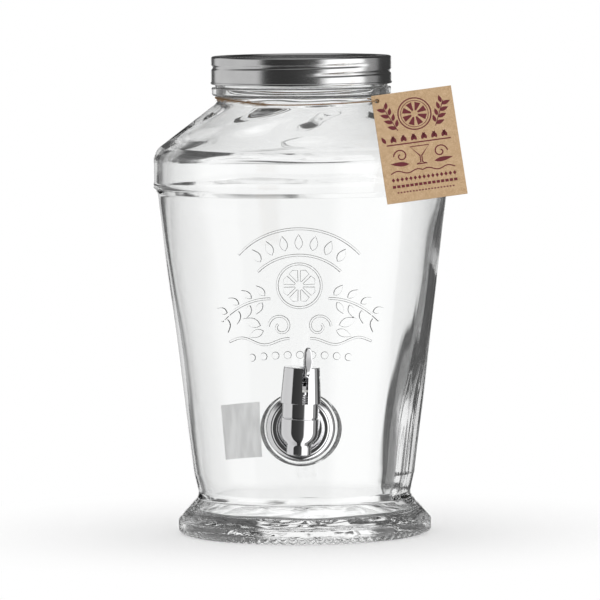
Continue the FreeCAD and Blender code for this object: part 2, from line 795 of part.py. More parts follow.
def stem_seal():
    """The O-ring round the stem."""
    ring_r = STEM_R + STEM_GAP / 2 + O_RING_R
    return tap_pose(Part.makeTorus(ring_r, O_RING_R, V(0, 0, O_RING_HEIGHT), Z_AXIS))


def valve_stem():
    """The stem: foot in the seal, spring collar, rod and the windowed head."""
    stem = turned([
        (0, SEAL_TOP - STEM_FOOT_DEPTH, 0),
        (STEM_FOOT_R, SEAL_TOP - STEM_FOOT_DEPTH, 0),
        (STEM_FOOT_R, SEAL_TOP, 0),
        (SPRING_COLLAR_R, SEAL_TOP, 0),
        (SPRING_COLLAR_R, COLLAR_TOP, 0.3),
        (STEM_R, COLLAR_TOP, 0),
        (STEM_R, WINDOW_FOOT - 1.4, 0),
        (HEAD_R, WINDOW_FOOT - 0.7, 0),
        (HEAD_R, HEAD_TOP, 0.4),
        (0, HEAD_TOP, 0),
    ])
    window = Part.makeBox(WINDOW_WIDTH, 4 * HEAD_R, WINDOW_TOP - WINDOW_FOOT,
                          V(-WINDOW_WIDTH / 2, -2 * HEAD_R, WINDOW_FOOT))
    return tap_pose(one_solid(stem.cut(window)), turned_bonnet=True)


def seat_seal():
    """The silicone disc on the stem's foot that closes the outlet."""
    seal = turned([
        (0, SEAT, 0),
        (SEAL_R, SEAT, 0.6),
        (SEAL_R, SEAL_TOP, 0.6),
        (0, SEAL_TOP, 0),
    ])
    pocket = disc(STEM_FOOT_R, SEAL_TOP - STEM_FOOT_DEPTH, SEAL_TOP + 1)
    return tap_pose(one_solid(seal.cut(pocket)), turned_bonnet=True)


def return_spring():
    """The coil spring between the stem's collar and its guide."""
    pitch = (GUIDE_SEAT - COLLAR_TOP - 2 * SPRING_WIRE_R) / SPRING_TURNS
    turns = []
    for count in range(SPRING_TURNS):
        turn = Part.makeHelix(pitch, pitch, SPRING_COIL_R)
        turn.translate(V(0, 0, count * pitch))
        turns += turn.Edges
    wire = Part.Wire(Part.makeCircle(SPRING_WIRE_R, V(SPRING_COIL_R, 0, 0), Y_AXIS))
    coil = Part.Wire(turns).makePipeShell([wire], True, True)
    coil.translate(V(0, 0, COLLAR_TOP + SPRING_WIRE_R))
    return tap_pose(coil)


# ---------------------------------------------------------------- label, tag, twine
def back_label():
    """The paper label on the back of the jar, on its tapered wall."""
    low = LABEL_Z
    high = LABEL_Z + LABEL_HEIGHT
    near = LABEL_GAP
    far = LABEL_GAP + LABEL_THICKNESS
    patch = rounded_face([
        (V(taper_radius(low) + near, 0, low), 0),
        (V(taper_radius(low) + far, 0, low), 0),
        (V(taper_radius(high) + far, 0, high), 0),
        (V(taper_radius(high) + near, 0, high), 0),
    ])
    patch.rotate(ORIGIN, Z_AXIS, LABEL_FROM)
    return patch.revolve(ORIGIN, Z_AXIS, LABEL_TO - LABEL_FROM)


def round_neck(shape):
    """The shape turned with the loop of twine."""
    turned_shape = shape.copy()
    turned_shape.rotate(ORIGIN, Z_AXIS, NECK_TURN)
    return turned_shape


def tag_pose(shape):
    """A shape of the tag's own frame (origin in its hole, +Y to its back), hung."""
    hung = shape.copy()
    hung.rotate(ORIGIN, Y_AXIS, -TAG_TURN)
    hung.rotate(ORIGIN, X_AXIS, -TAG_LEAN)
    hung.translate(TAG_HOLE)
    return round_neck(hung)


def tag_hole():
    """The hole through all the leaves of the tag."""
    return Part.makeCylinder(TAG_HOLE_R, TAG_DEPTH + 2, V(0, -1, 0), Y_AXIS)


def tag_cover():
    """The folded card: two leaves joined by a round fold on the left side."""
    inner = TAG_DEPTH / 2 - CARD
    left = -TAG_HOLE_SIDE
    bottom = TAG_HOLE_TOP - TAG_HEIGHT
    right = left + TAG_WIDTH
    outer_face = rounded_face([
        (V(left, 0, bottom), 0.98 * TAG_DEPTH / 2),
        (V(right, 0, bottom), 0),
        (V(right, TAG_DEPTH, bottom), 0),
        (V(left, TAG_DEPTH, bottom), 0.98 * TAG_DEPTH / 2),
    ])
    gap_face = rounded_face([
        (V(left + CARD, CARD, bottom), 0.98 * inner),
        (V(right + 1, CARD, bottom), 0),
        (V(right + 1, TAG_DEPTH - CARD, bottom), 0),
        (V(left + CARD, TAG_DEPTH - CARD, bottom), 0.98 * inner),
    ])
    cover = outer_face.cut(gap_face).extrude(V(0, 0, TAG_HEIGHT))
    return tag_pose(one_solid(cover.cut(tag_hole())))


def tag_leaf():
    """The loose leaf inside the folded card."""
    left = -TAG_HOLE_SIDE + LEAF_SIDE_MARGIN
    width = TAG_WIDTH - 2 * LEAF_SIDE_MARGIN
    bottom = TAG_HOLE_TOP - TAG_HEIGHT + LEAF_END_MARGIN
    leaf = Part.makeBox(width, LEAF, TAG_HEIGHT - 2 * LEAF_END_MARGIN,
                        V(left, CARD + LEAF_GAP, bottom))
    return tag_pose(one_solid(leaf.cut(tag_hole())))


def twine():
    """The twine: out of the knot, round the neck, through the tag and back."""
    solid, length, radii = tube(TWINE_ROUTE, TWINE_R)
    expected = math.pi * TWINE_R ** 2 * length
    print("twine length %.1f mm" % length)
    print("twine volume %.2f mm3, section x length %.2f mm3" % (solid.Volume, expected))
    print("twine arc radii " + " ".join("%.1f" % r for r in radii))
    return round_neck(solid)


def twine_knot():
    """The knot behind the tag, with its two loose ends."""
    knot = Part.makeSphere(KNOT_R, KNOT_AT)
    for tail in (SHORT_TAIL, LONG_TAIL):
        knot = knot.fuse(tube(tail, TWINE_R)[0])
    return round_neck(one_solid(knot))


NODES = {
    "glass_jar": glass_jar,
    "lid_shell": lid_shell,
    "lid_seal": lid_seal,
    "tap_body": tap_body,
    "outer_washer": outer_washer,
    "inner_washer": inner_washer,
    "tap_nut": tap_nut,
    "bonnet": bonnet,
    "bonnet_gasket": bonnet_gasket,
    "lever": lever,
    "lever_pin": lever_pin,
    "stem_guide": stem_guide,
    "stem_seal": stem_seal,
    "valve_stem": valve_stem,
    "seat_seal": seat_seal,
    "return_spring": return_spring,
    "back_label": back_label,
    "tag_cover": tag_cover,
    "tag_leaf": tag_leaf,
    "twine": twine,
    "twine_knot": twine_knot,
}


def main():
    os.makedirs("parts", exist_ok=True)
    for name, make in NODES.items():
        shape = make()
        box = shape.BoundBox
        print("%-14s solids %d valid %s volume %10.1f  x %7.1f %7.1f  y %7.1f %7.1f  z %7.1f %7.1f"
              % (name, len(shape.Solids), shape.isValid(), shape.Volume,
                 box.XMin, box.XMax, box.YMin, box.YMax, box.ZMin, box.ZMax))
        shape.exportStep("parts/%s.step" % name)


main()
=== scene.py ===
import math

import bmesh
import bpy
import numpy as np
from mathutils import Matrix, Vector


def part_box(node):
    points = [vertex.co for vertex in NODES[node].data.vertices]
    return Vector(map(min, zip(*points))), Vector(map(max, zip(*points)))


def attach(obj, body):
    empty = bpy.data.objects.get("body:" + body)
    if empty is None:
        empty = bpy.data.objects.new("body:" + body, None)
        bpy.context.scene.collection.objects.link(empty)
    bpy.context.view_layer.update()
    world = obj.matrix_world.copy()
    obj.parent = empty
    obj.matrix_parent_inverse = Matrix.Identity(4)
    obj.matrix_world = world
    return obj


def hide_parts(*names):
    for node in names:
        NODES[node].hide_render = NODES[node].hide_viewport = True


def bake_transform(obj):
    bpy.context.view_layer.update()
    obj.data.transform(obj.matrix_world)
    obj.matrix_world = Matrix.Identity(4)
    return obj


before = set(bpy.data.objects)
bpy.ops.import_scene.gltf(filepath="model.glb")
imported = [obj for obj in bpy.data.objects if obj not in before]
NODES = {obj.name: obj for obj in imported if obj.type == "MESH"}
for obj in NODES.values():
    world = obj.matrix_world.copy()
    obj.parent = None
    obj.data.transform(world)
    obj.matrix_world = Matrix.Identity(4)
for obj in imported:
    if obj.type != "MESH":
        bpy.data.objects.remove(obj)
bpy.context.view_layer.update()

MM = 0.001

# ---- Camera: where the photograph was taken from ----
CAMERA_AT = Vector((-2.15, -4090.8, 443.6)) * MM
CAMERA_PITCH = math.radians(3.94)
CAMERA_ROLL = math.radians(0.48)
CAMERA_YAW = math.radians(1.6)
CAMERA_LENS_MM = 354.0

# ---- Jar, in millimetres: as in the solid, but for the boss, which is steeper here ----
FOOT_R = 88.3
FOOT_EDGE_R = 5.0
FOOT_CREST_Z = 10.4
WAIST_R = 73.4
WAIST_Z = 26.9
TAPER_FOOT_R = 77.2
TAPER_FOOT_Z = 43.0
TAPER_TOP_R = 101.0
TAPER_TOP_Z = 237.5
BAND_R = 103.5
BAND_FOOT_Z = 241.0
SHOULDER_Z = 265.7
SHOULDER_ROUND = 12.5
NECK_R = 58.6
NECK_Z = 299.5
BEAD_R = 62.4
BEAD_BOTTOM_Z = 304.2
BEAD_TOP_Z = 310.2
FINISH_R = 60.0
JAR_TOP_Z = 329.8
MOUTH_R = 54.5
WALL = 4.8
FLOOR_Z = 14.0
FLOOR_R = 78.5
TAP_Z = 80.6
BOSS_FACE_Y = -84.0
BOSS_R = 24.9
BOSS_SLOPE = 0.4
BOSS_DEPTH = 12.0
PAD_R = 21.0
PAD_FACE_Y = -73.6
HOLE_R = 8.6
PITCH = 6.0
THREAD_Z = 320.4
THREAD_ANGLE = math.radians(-198)
THREAD_TURNS = 1.1
THREAD_HEIGHT = 1.4

# ---- Round grooves of the knurled foot ----
KNURL_COUNT = 86
KNURL_R = 2.4
KNURL_DEPTH = 1.0
KNURL_IN = 0.5
KNURL_UP = 0.87
KNURL_COLUMNS = 6

# ---- Unevenness of the glass: how far its two surfaces wander ----
OUTSIDE_WAVE = 0.10
WALL_WAVE = 0.22
SHOULDER_WAVE = 1.1
FLOOR_WAVE = 0.25
THICK_SIDE = 5.0

# ---- Ornament: cast bars and plates on the front of the tapered wall ----
RELIEF_RISE = 0.65
RELIEF_ROOT = -0.4
RELIEF_SLOPE = 0.24
RELIEF_LOW_Z = 112
RELIEF_TOP_Z = 228
RELIEF_HALF_ANGLE = 0.75
BAR_FOOT = 2.0
BAR_CREST = 1.1
ARCH_Z = 158
SLICE_Z = 178

# ---- Lid ----
LID_R = 62.5
LID_BOTTOM_Z = 312.2
LID_TOP_Z = 331.55
LID_SHEET = 0.5
PANEL_R = 52.5
ROLL_Z = 319.2
ROLL_TURNS = 1.15
ROLL_DEPTH = 0.9

# ---- Rim between the tap's flange and its washer ----
FLANGE_R = 19.8
RIM_R = 23.1
WASHER_T = 2.5

# ---- Lever: its cast edges, and how much higher its tip is drawn than the solid's ----
LEVER_TIP = 2.4
LEVER_TIP_LENGTH = 14
LEVER_GRAIN = 0.3
LEVER_SOFTENING = 14

# ---- The twine and its tag are turned round the neck by this much ----
NECK_TURN = Matrix.Rotation(math.radians(1.6), 3, "Z")

# ---- Tag, whose own frame starts in its hole ----
TAG_HOLE = NECK_TURN @ Vector((51.4, -75.5, 302.4))
TAG_LEAN = math.radians(19.6)
TAG_TURN = math.radians(7.6)
TAG_LEFT = -3.6
TAG_RIGHT = 51.4
TAG_MIDDLE = (TAG_LEFT + TAG_RIGHT) / 2
INK_BACK = -0.005
INK_FACE = 0.028

# ---- Twine: two plies laid round its line, and loose fibres ----
PLY_R = 0.28
PLY_OFFSET = 0.24
PLY_PITCH = 2.9
FIBRE_R = 0.035
TWINE_ROUTE = [NECK_TURN @ Vector(point) for point in (
    (52.9, -65.4, 301.9), (55.2, -46.0, 302.2), (58.2, -21.0, 302.7), (60.3, 3.7, 302.9),
    (55.4, 24.1, 303.0), (43.7, 41.7, 303.1), (26.7, 54.2, 303.0), (6.5, 60.1, 303.1),
    (-14.5, 58.7, 303.0), (-33.8, 50.1, 303.1), (-49.0, 35.4, 303.0), (-58.1, 16.5, 303.1),
    (-60.3, -4.5, 302.9), (-55.0, -25.0, 302.6), (-43.4, -42.4, 301.9), (-26.8, -55.5, 299.8),
    (-4.5, -61.4, 299.4), (17.0, -67.2, 300.2), (34.0, -71.9, 301.2), (43.6, -75.2, 301.9),
    (48.6, -77.2, 302.3), (51.1, -77.7, 302.6), (51.5, -75.3, 302.3), (51.7, -71.0, 301.9),
    (52.2, -65.3, 301.8),
)]
KNOT_AT = Vector((52.6, -64.0, 301.8))
SHORT_TAIL = [(52.0, -64.9, 302.4), (49.0, -67.2, 303.3), (44.6, -70.0, 303.8)]
LONG_TAIL = [(53.0, -63.6, 300.6), (54.4, -62.6, 295.6), (54.0, -63.2, 290.0)]

# ---- Studio dome: its radius, and the degrees between its rows of points ----
DOME_R = 9000
DOME_STEP = 6


# ======== camera
def make_camera():
    data = bpy.data.cameras.new("camera")
    data.lens = CAMERA_LENS_MM
    data.sensor_width = 36.0
    data.clip_start = 0.1
    data.clip_end = 100.0
    camera = link("camera", data)
    turn = Matrix.Rotation(math.radians(90) - CAMERA_PITCH, 4, "X")
    roll = Matrix.Rotation(-CAMERA_ROLL, 4, "Z")
    yaw = Matrix.Rotation(CAMERA_YAW, 4, "Z")
    camera.matrix_world = yaw @ Matrix.Translation(CAMERA_AT) @ turn @ roll
    bpy.context.scene.camera = camera
    return camera


# ======== helpers
def link(name, data):
    obj = bpy.data.objects.new(name, data)
    bpy.context.scene.collection.objects.link(obj)
    return obj


def mesh_of(name, verts, faces):
    """A mesh object from points in metres and faces."""
    mesh = bpy.data.meshes.new(name)
    mesh.from_pydata([tuple(v) for v in verts], [], [tuple(f) for f in faces])
    mesh.update()
    return link(name, mesh)


def joined(name, parts):
    """One mesh object from several (points, faces) pairs, points in millimetres."""
    verts = []
    faces = []
    for points, polygons in parts:
        start = len(verts)
        verts.extend(Vector(p) * MM for p in points)
        faces.extend([start + i for i in polygon] for polygon in polygons)
    return mesh_of(name, verts, faces)


def smooth(obj, angle=35.0):
    """Smooth shading, with edges sharper than the angle left sharp."""
    bm = bmesh.new()
    bm.from_mesh(obj.data)
    bmesh.ops.recalc_face_normals(bm, faces=bm.faces)
    limit = math.radians(angle)
    for face in bm.faces:
        face.smooth = True
    for edge in bm.edges:
        edge.smooth = len(edge.link_faces) == 2 and edge.calc_face_angle(0.0) < limit
    bm.to_mesh(obj.data)
    bm.free()


def rounded(corners, step=10.0):
    """Points of an outline of (radius, height, fillet) corners, with the fillets drawn."""
    points = []
    last = len(corners) - 1
    for i, (r, z, fillet) in enumerate(corners):
        at = Vector((r, z))
        if fillet == 0 or i in (0, last):
            points.append(at)
            continue
        back = Vector(corners[i - 1][:2]) - at
        ahead = Vector(corners[i + 1][:2]) - at
        half_turn = (math.pi - back.angle(ahead)) / 2
        reach = min(fillet * math.tan(half_turn), 0.49 * back.length, 0.49 * ahead.length)
        bend = reach / math.tan(half_turn)
        inward = (back.normalized() + ahead.normalized()).normalized()
        centre = at + inward * (bend / math.cos(half_turn))
        start = at + back.normalized() * reach - centre
        end = at + ahead.normalized() * reach - centre
        turn = math.atan2(start.x * end.y - start.y * end.x, start.dot(end))
        steps = max(2, math.ceil(abs(math.degrees(turn)) / step))
        for k in range(steps + 1):
            c = math.cos(turn * k / steps)
            s = math.sin(turn * k / steps)
            points.append(centre + Vector((c * start.x - s * start.y, s * start.x + c * start.y)))
    return points


def refined(points, longest):
    """The outline with extra points, so that no stretch is longer than that."""
    result = [points[0]]
    for a, b in zip(points, points[1:]):
        parts = max(1, math.ceil((b - a).length / longest))
        for k in range(1, parts + 1):
            result.append(a.lerp(b, k / parts))
    return result


def turned(outline, columns, shift):
    """Rows of points of an outline turned about Z, in millimetres.
    shift(angle, radius, height) gives changes of radius and height, all arrays."""
    ring = np.array([(p[0], p[1]) for p in outline])
    angles = np.linspace(0, 2 * math.pi, columns, endpoint=False)
    a, r = np.meshgrid(angles, ring[:, 0])
    z = np.repeat(ring[:, 1][:, None], columns, axis=1)
    if shift is not None:
        dr, dz = shift(a, r, z)
        r = r + dr
        z = z + dz
    return np.stack([r * np.cos(a), r * np.sin(a), z], axis=2).reshape(-1, 3)


def bands(rows, columns, closed=False):
    """The faces between rows of points, and between the last and the first if closed."""
    faces = []
    for i in range(rows if closed else rows - 1):
        low = i * columns
        high = ((i + 1) % rows) * columns
        for j in range(columns):
            k = (j + 1) % columns
            faces.append((low + j, low + k, high + k, high + j))
    return faces


def bar_faces(rows, columns):
    """The faces of a bar drawn through rows of points, with both its ends closed."""
    faces = bands(rows, columns)
    faces.append(list(range(columns - 1, -1, -1)))
    faces.append([(rows - 1) * columns + k for k in range(columns)])
    return faces


def lathe(name, outline, columns, shift=None):
    """A closed solid of revolution, whose outline starts and ends on the axis."""
    ends = [[0, 0, outline[0][1]], [0, 0, outline[-1][1]]]
    verts = np.vstack([turned(outline[1:-1], columns, shift), ends]) * MM
    rows = len(outline) - 2
    faces = bands(rows, columns)
    top = (rows - 1) * columns
    for j in range(columns):
        k = (j + 1) % columns
        faces.append((k, j, rows * columns))
        faces.append((top + j, top + k, rows * columns + 1))
    return mesh_of(name, verts, faces)


def closed_lathe(name, outline, columns):
    """A ring-shaped solid of revolution from a closed outline that keeps off the axis."""
    verts = turned(outline, columns, None) * MM
    return mesh_of(name, verts, bands(len(outline), columns, True))


def laid(obj, y, z):
    """Lays a shape that was turned about Z along +Y, with its axis at the height z."""
    turn = Matrix.Rotation(math.radians(-90), 4, "X")
    obj.data.transform(Matrix.Translation(Vector((0, y, z)) * MM) @ turn)
    return obj


def applied(obj):
    """Makes the shape that the modifiers give the object's own mesh."""
    graph = bpy.context.evaluated_depsgraph_get()
    mesh = bpy.data.meshes.new_from_object(obj.evaluated_get(graph))
    obj.modifiers.clear()
    obj.data = mesh


def boolean(obj, *steps):
    """Adds or cuts the other solids one after another, and removes them."""
    for operation, other in steps:
        modifier = obj.modifiers.new(other.name, "BOOLEAN")
        modifier.operation = operation
        modifier.solver = "MANIFOLD"
        modifier.object = other
    applied(obj)
    for _, other in steps:
        bpy.data.objects.remove(other)


def smoothstep(low, high, x):
    t = np.clip((x - low) / (high - low), 0, 1)
    return t * t * (3 - 2 * t)


def wander(a, z, seed, terms, around, tall):
    """Smooth unevenness that closes round the jar, mostly between -1 and 1."""
    rng = np.random.default_rng(seed)
    total = 0 * a
    for _ in range(terms):
        turns = rng.integers(around[0], around[1] + 1)
        wave = 2 * math.pi / rng.uniform(tall[0], tall[1])
        total = total + np.sin(turns * a + wave * z * rng.choice([-1, 1]) + rng.uniform(0, 6.28))
    return total / math.sqrt(2 * terms) * 1.2


# ======== materials
def material(name):
    mat = bpy.data.materials.new(name)
    mat.use_nodes = True
    return mat, mat.node_tree, mat.node_tree.nodes["Principled BSDF"]


def feed(tree, made, inputs):
    """Gives a node's inputs their links and values."""
    for key, value in dict(inputs).items():
        if isinstance(value, bpy.types.NodeSocket):
            tree.links.new(value, made.inputs[key])
        else:
            made.inputs[key].default_value = value


def node(tree, kind, inputs=(), **settings):
    """A shader node with its settings, values and links given at once."""
    made = tree.nodes.new(kind)
    for key, value in settings.items():
        setattr(made, key, value)
    feed(tree, made, inputs)
    return made


def grey(level):
    return (level, level, level, 1)


def calc(tree, operation, *values):
    """The output of a Math node."""
    return node(tree, "ShaderNodeMath", dict(enumerate(values)), operation=operation).outputs[0]


def ramp(tree, factor, stops, interpolation="LINEAR"):
    """The colour output of a ramp with (position, colour) stops; a colour may be a grey."""
    made = node(tree, "ShaderNodeValToRGB", {"Fac": factor})
    elements = made.color_ramp.elements
    made.color_ramp.interpolation = interpolation
    while len(elements) < len(stops):
        elements.new(0.5)
    for element, (position, colour) in zip(elements, stops):
        element.position = position
        element.color = (*colour, 1.0) if isinstance(colour, tuple) else grey(colour)
    return made.outputs["Color"]


def noise(tree, vector, scale, detail=3.0, roughness=0.55, stretch=(1, 1, 1)):
    """The grey output of a noise whose space may be stretched."""
    placed = node(tree, "ShaderNodeMapping", {"Vector": vector, "Scale": stretch}).outputs[0]
    inputs = {"Vector": placed, "Scale": scale, "Detail": detail, "Roughness": roughness}
    return node(tree, "ShaderNodeTexNoise", inputs).outputs["Fac"]


def mixed(tree, factor, first, second, blend="MIX"):
    """The colour output of a Mix node."""
    made = node(tree, "ShaderNodeMix", {0: factor, 6: first, 7: second},
                data_type="RGBA", blend_type=blend)
    return made.outputs[2]


def times(tree, first, second):
    return calc(tree, "MULTIPLY", first, second)


def distance(tree, x, y):
    """The distance of a place from the axis."""
    return calc(tree, "SQRT", calc(tree, "ADD", times(tree, x, x), times(tree, y, y)))


def object_space(tree):
    return node(tree, "ShaderNodeTexCoord").outputs["Object"]


def bump(tree, height, distance, strength=1.0):
    """The normals of a surface with the height on it."""
    inputs = {"Height": height, "Distance": distance, "Strength": strength}
    return node(tree, "ShaderNodeBump", inputs).outputs["Normal"]


def wear(obj, mat):
    obj.data.materials.clear()
    obj.data.materials.append(mat)


def plain(name, colour, rough, metallic=0.0, grain=0.0, grain_scale=900.0):
    """A plain material with a slightly uneven colour."""
    mat, tree, shader = material(name)
    speck = noise(tree, object_space(tree), grain_scale, 4.0)
    low = tuple(c * (1 - grain) for c in colour)
    high = tuple(min(1.0, c * (1 + grain)) for c in colour)
    colours = ramp(tree, speck, [(0.3, low), (0.7, high)])
    feed(tree, shader, {"Base Color": colours, "Roughness": rough, "Metallic": metallic})
    return mat


def glass_material():
    mat, tree, shader = material("clear_glass")
    feed(tree, shader, {"Base Color": (0.996, 1.0, 0.998, 1), "Roughness": 0.0, "IOR": 1.52,
                        "Transmission Weight": 1.0})
    return mat


def lid_material():
    mat, tree, shader = material("lid_steel")
    space = object_space(tree)
    rings = noise(tree, space, 1.0, 5.0, 0.6, (120, 120, 5200))
    cloud = noise(tree, space, 45.0)
    feed(tree, shader, {
        "Base Color": ramp(tree, cloud, [(0.3, 0.66), (0.7, 0.74)]), "Metallic": 1.0,
        "Roughness": ramp(tree, rings, [(0.3, 0.17), (0.7, 0.25)]),
        "Normal": bump(tree, rings, 0.00002, 0.6),
    })
    return mat


def chrome_material():
    mat, tree, shader = material("tap_chrome")
    cloud = noise(tree, object_space(tree), 180.0, 2.0)
    rough = ramp(tree, cloud, [(0.3, 0.03), (0.7, 0.08)])
    feed(tree, shader, {"Base Color": (0.87, 0.87, 0.88, 1), "Metallic": 1.0, "Roughness": rough})
    return mat


def card_material():
    mat, tree, shader = material("kraft_card")
    space = object_space(tree)
    fibre = noise(tree, space, 2300.0, 4.0, 0.65)
    cloud = noise(tree, space, 260.0)
    both = calc(tree, "ADD", times(tree, fibre, 0.8), times(tree, cloud, 0.2))
    tan = ramp(tree, both, [
        (0.34, (0.36, 0.225, 0.11)), (0.5, (0.54, 0.36, 0.2)), (0.66, (0.72, 0.53, 0.34)),
    ])
    normals = bump(tree, fibre, 0.00004)
    feed(tree, shader, {"Base Color": tan, "Roughness": 0.85, "Normal": normals})
    return mat


def twine_material():
    mat, tree, shader = material("jute")
    fibre = noise(tree, object_space(tree), 2600.0, 3.0, 0.6)
    brown = ramp(tree, fibre, [(0.3, (0.16, 0.085, 0.035)), (0.7, (0.42, 0.27, 0.14))])
    feed(tree, shader, {"Base Color": brown, "Roughness": 0.9})
    return mat


def label_material():
    mat, tree, shader = material("grey_label")
    streak = noise(tree, object_space(tree), 1.0, 3.0, 0.5, (230, 230, 35))
    greys = ramp(tree, streak, [(0.38, 0.76), (0.5, 0.86), (0.62, 0.98)])
    feed(tree, shader, {"Base Color": greys, "Roughness": 0.35, "Transmission Weight": 0.85})
    return mat


# ======== strokes
def polar(x, z, radius, degrees):
    """The point at a distance and an angle from (x, z)."""
    angle = math.radians(degrees)
    return (x + radius * math.cos(angle), z + radius * math.sin(angle))


def arc(x, z, radius, start, end):
    """Points on a circle's arc from start to end, in degrees, 1.2 mm apart or closer."""
    count = max(3, math.ceil(abs(math.radians(end - start)) * radius / 1.2))
    return [polar(x, z, radius, start + (end - start) * k / count) for k in range(count + 1)]


def leaf(x, z, length, width, angle):
    """A closed leaf outline that starts at (x, z) and points along the angle."""
    c = math.cos(math.radians(angle))
    s = math.sin(math.radians(angle))
    count = 7
    side = []
    for k in range(count + 1):
        t = k / count
        side.append((length * t, width / 2 * math.sin(math.pi * t ** 0.8)))
    outline = side + [(u, -v) for u, v in reversed(side[1:-1])]
    return [(x + u * c - v * s, z + u * s + v * c) for u, v in outline]


def spiral(x, z, start_r, end_r, start, turn):
    """Points on a spiral about (x, z) that starts at an angle and turns so many degrees."""
    count = 22
    points = []
    for k in range(count + 1):
        t = k / count
        points.append(polar(x, z, start_r + (end_r - start_r) * t, start + turn * t))
    return points


def sides(points, closed, half):
    """The points moved to the left and to the right by half a width."""
    count = len(points)
    left = []
    right = []
    for i, (x, z) in enumerate(points):
        before = points[i - 1] if i > 0 or closed else points[i]
        after = points[(i + 1) % count] if i < count - 1 or closed else points[i]
        along = Vector((after[0] - before[0], after[1] - before[1])).normalized()
        left.append((x - along.y * half, z + along.x * half))
        right.append((x + along.y * half, z - along.x * half))
    return left, right


def ridge(points, closed, foot, crest, low, high):
    """A bar along the points: (x, z, height) corners and faces. Its top is narrower."""
    low_left, low_right = sides(points, closed, foot / 2)
    high_left, high_right = sides(points, closed, crest / 2)
    loops = ((low_left, low), (low_right, low), (high_right, high), (high_left, high))
    count = len(points)
    verts = [(*loop[i], level) for i in range(count) for loop, level in loops]
    faces = bands(count, 4, True) if closed else bar_faces(count, 4)
    return verts, [face[::-1] for face in faces]


def wound(points):
    """The closed outline, turned round if it runs clockwise."""
    ahead = points[1:] + points[:1]
    area = sum(p[0] * q[1] - q[0] * p[1] for p, q in zip(points, ahead))
    return points if area > 0 else points[::-1]


def plate(points, inset, low, high):
    """A plate with the closed outline: (x, z, height) corners and faces. With an inset
    its sides slope, out by that much at the foot and in by as much at the top."""
    points = wound(points)
    count = len(points)
    left, right = sides(points, True, inset)
    verts = [(x, z, low) for x, z in right] + [(x, z, high) for x, z in left]
    caps = [list(range(count - 1, -1, -1)), list(range(count, 2 * count))]
    return verts, caps + bands(2, count)


# ======== jar
def taper_radius(z):
    share = (z - TAPER_FOOT_Z) / (TAPER_TOP_Z - TAPER_FOOT_Z)
    return TAPER_FOOT_R + share * (TAPER_TOP_R - TAPER_FOOT_R)


def outer_shift(a, r, z):
    """The knurled foot, and a slight unevenness of the pressed surface."""
    pitch = 2 * math.pi / KNURL_COUNT
    across = ((a + pitch / 2) % pitch - pitch / 2) * r
    centre = KNURL_R - KNURL_DEPTH
    groove = np.sqrt(np.maximum(KNURL_R ** 2 - across ** 2, centre ** 2)) - centre
    # Degrees round the foot's rounded edge, from its outer side down.
    edge_z = FOOT_EDGE_R - z
    edge_r = r - (FOOT_R - FOOT_EDGE_R)
    level = np.degrees(np.arctan2(edge_z, np.maximum(edge_r, -20)))
    on_edge = smoothstep(8, 30, level) * (1 - smoothstep(96, 110, level)) * (edge_r > -3)
    body = smoothstep(30, 60, z) * (1 - smoothstep(296, 300, z)) * (r > 40)
    uneven = -OUTSIDE_WAVE * body * (1 + wander(a, z, 3, 6, (2, 9), (60, 200)))
    return -KNURL_IN * groove * on_edge + uneven, KNURL_UP * groove * on_edge


def inner_shift(a, r, z):
    """The uneven thickness of the glass, felt on its inside only."""
    wall = smoothstep(20, 45, z) * (1 - smoothstep(290, 300, z)) * (r > 40)
    shoulder = smoothstep(268, 282, z) * (1 - smoothstep(294, 300, z))
    floor = 1 - smoothstep(16, 40, z)
    # The thick side is on the right, at +X.
    side = np.exp(-(np.degrees((a + math.pi) % (2 * math.pi) - math.pi) / 32) ** 2)
    thick = side * smoothstep(16, 34, z) * (1 - smoothstep(60, 200, z))
    dr = wall * WALL_WAVE * wander(a, z, 11, 8, (2, 8), (70, 260))
    dr = dr + shoulder * SHOULDER_WAVE * wander(a, z, 23, 9, (4, 10), (14, 32))
    dr = dr - THICK_SIDE * thick * (1 + 0.05 * wander(a, z, 31, 7, (18, 50), (150, 500)))
    dz = floor * FLOOR_WAVE * wander(a, r, 41, 7, (2, 9), (25, 70)) * (r > 12)
    return dr, dz


def jar_outside():
    outline = rounded([
        (0, 6.4, 0), (34, 6.4, 20), (74, 3.4, 2), (75.7, 0, 1.2),
        (FOOT_R, 0, FOOT_EDGE_R), (FOOT_R, FOOT_CREST_Z, 3.5), (WAIST_R, WAIST_Z, 6),
        (TAPER_FOOT_R, TAPER_FOOT_Z, 25), (TAPER_TOP_R, TAPER_TOP_Z, 1.5),
        (BAND_R, BAND_FOOT_Z, 1.5), (BAND_R, SHOULDER_Z, SHOULDER_ROUND), (NECK_R, NECK_Z, 4),
        (NECK_R, BEAD_BOTTOM_Z, 0.6), (BEAD_R, BEAD_BOTTOM_Z, 2.7), (BEAD_R, BEAD_TOP_Z, 2.7),
        (FINISH_R, BEAD_TOP_Z, 0.8), (FINISH_R, JAR_TOP_Z, 2.2), (0, JAR_TOP_Z, 0),
    ], 12)
    return lathe("jar", refined(outline, 18.0), KNURL_COUNT * KNURL_COLUMNS, outer_shift)


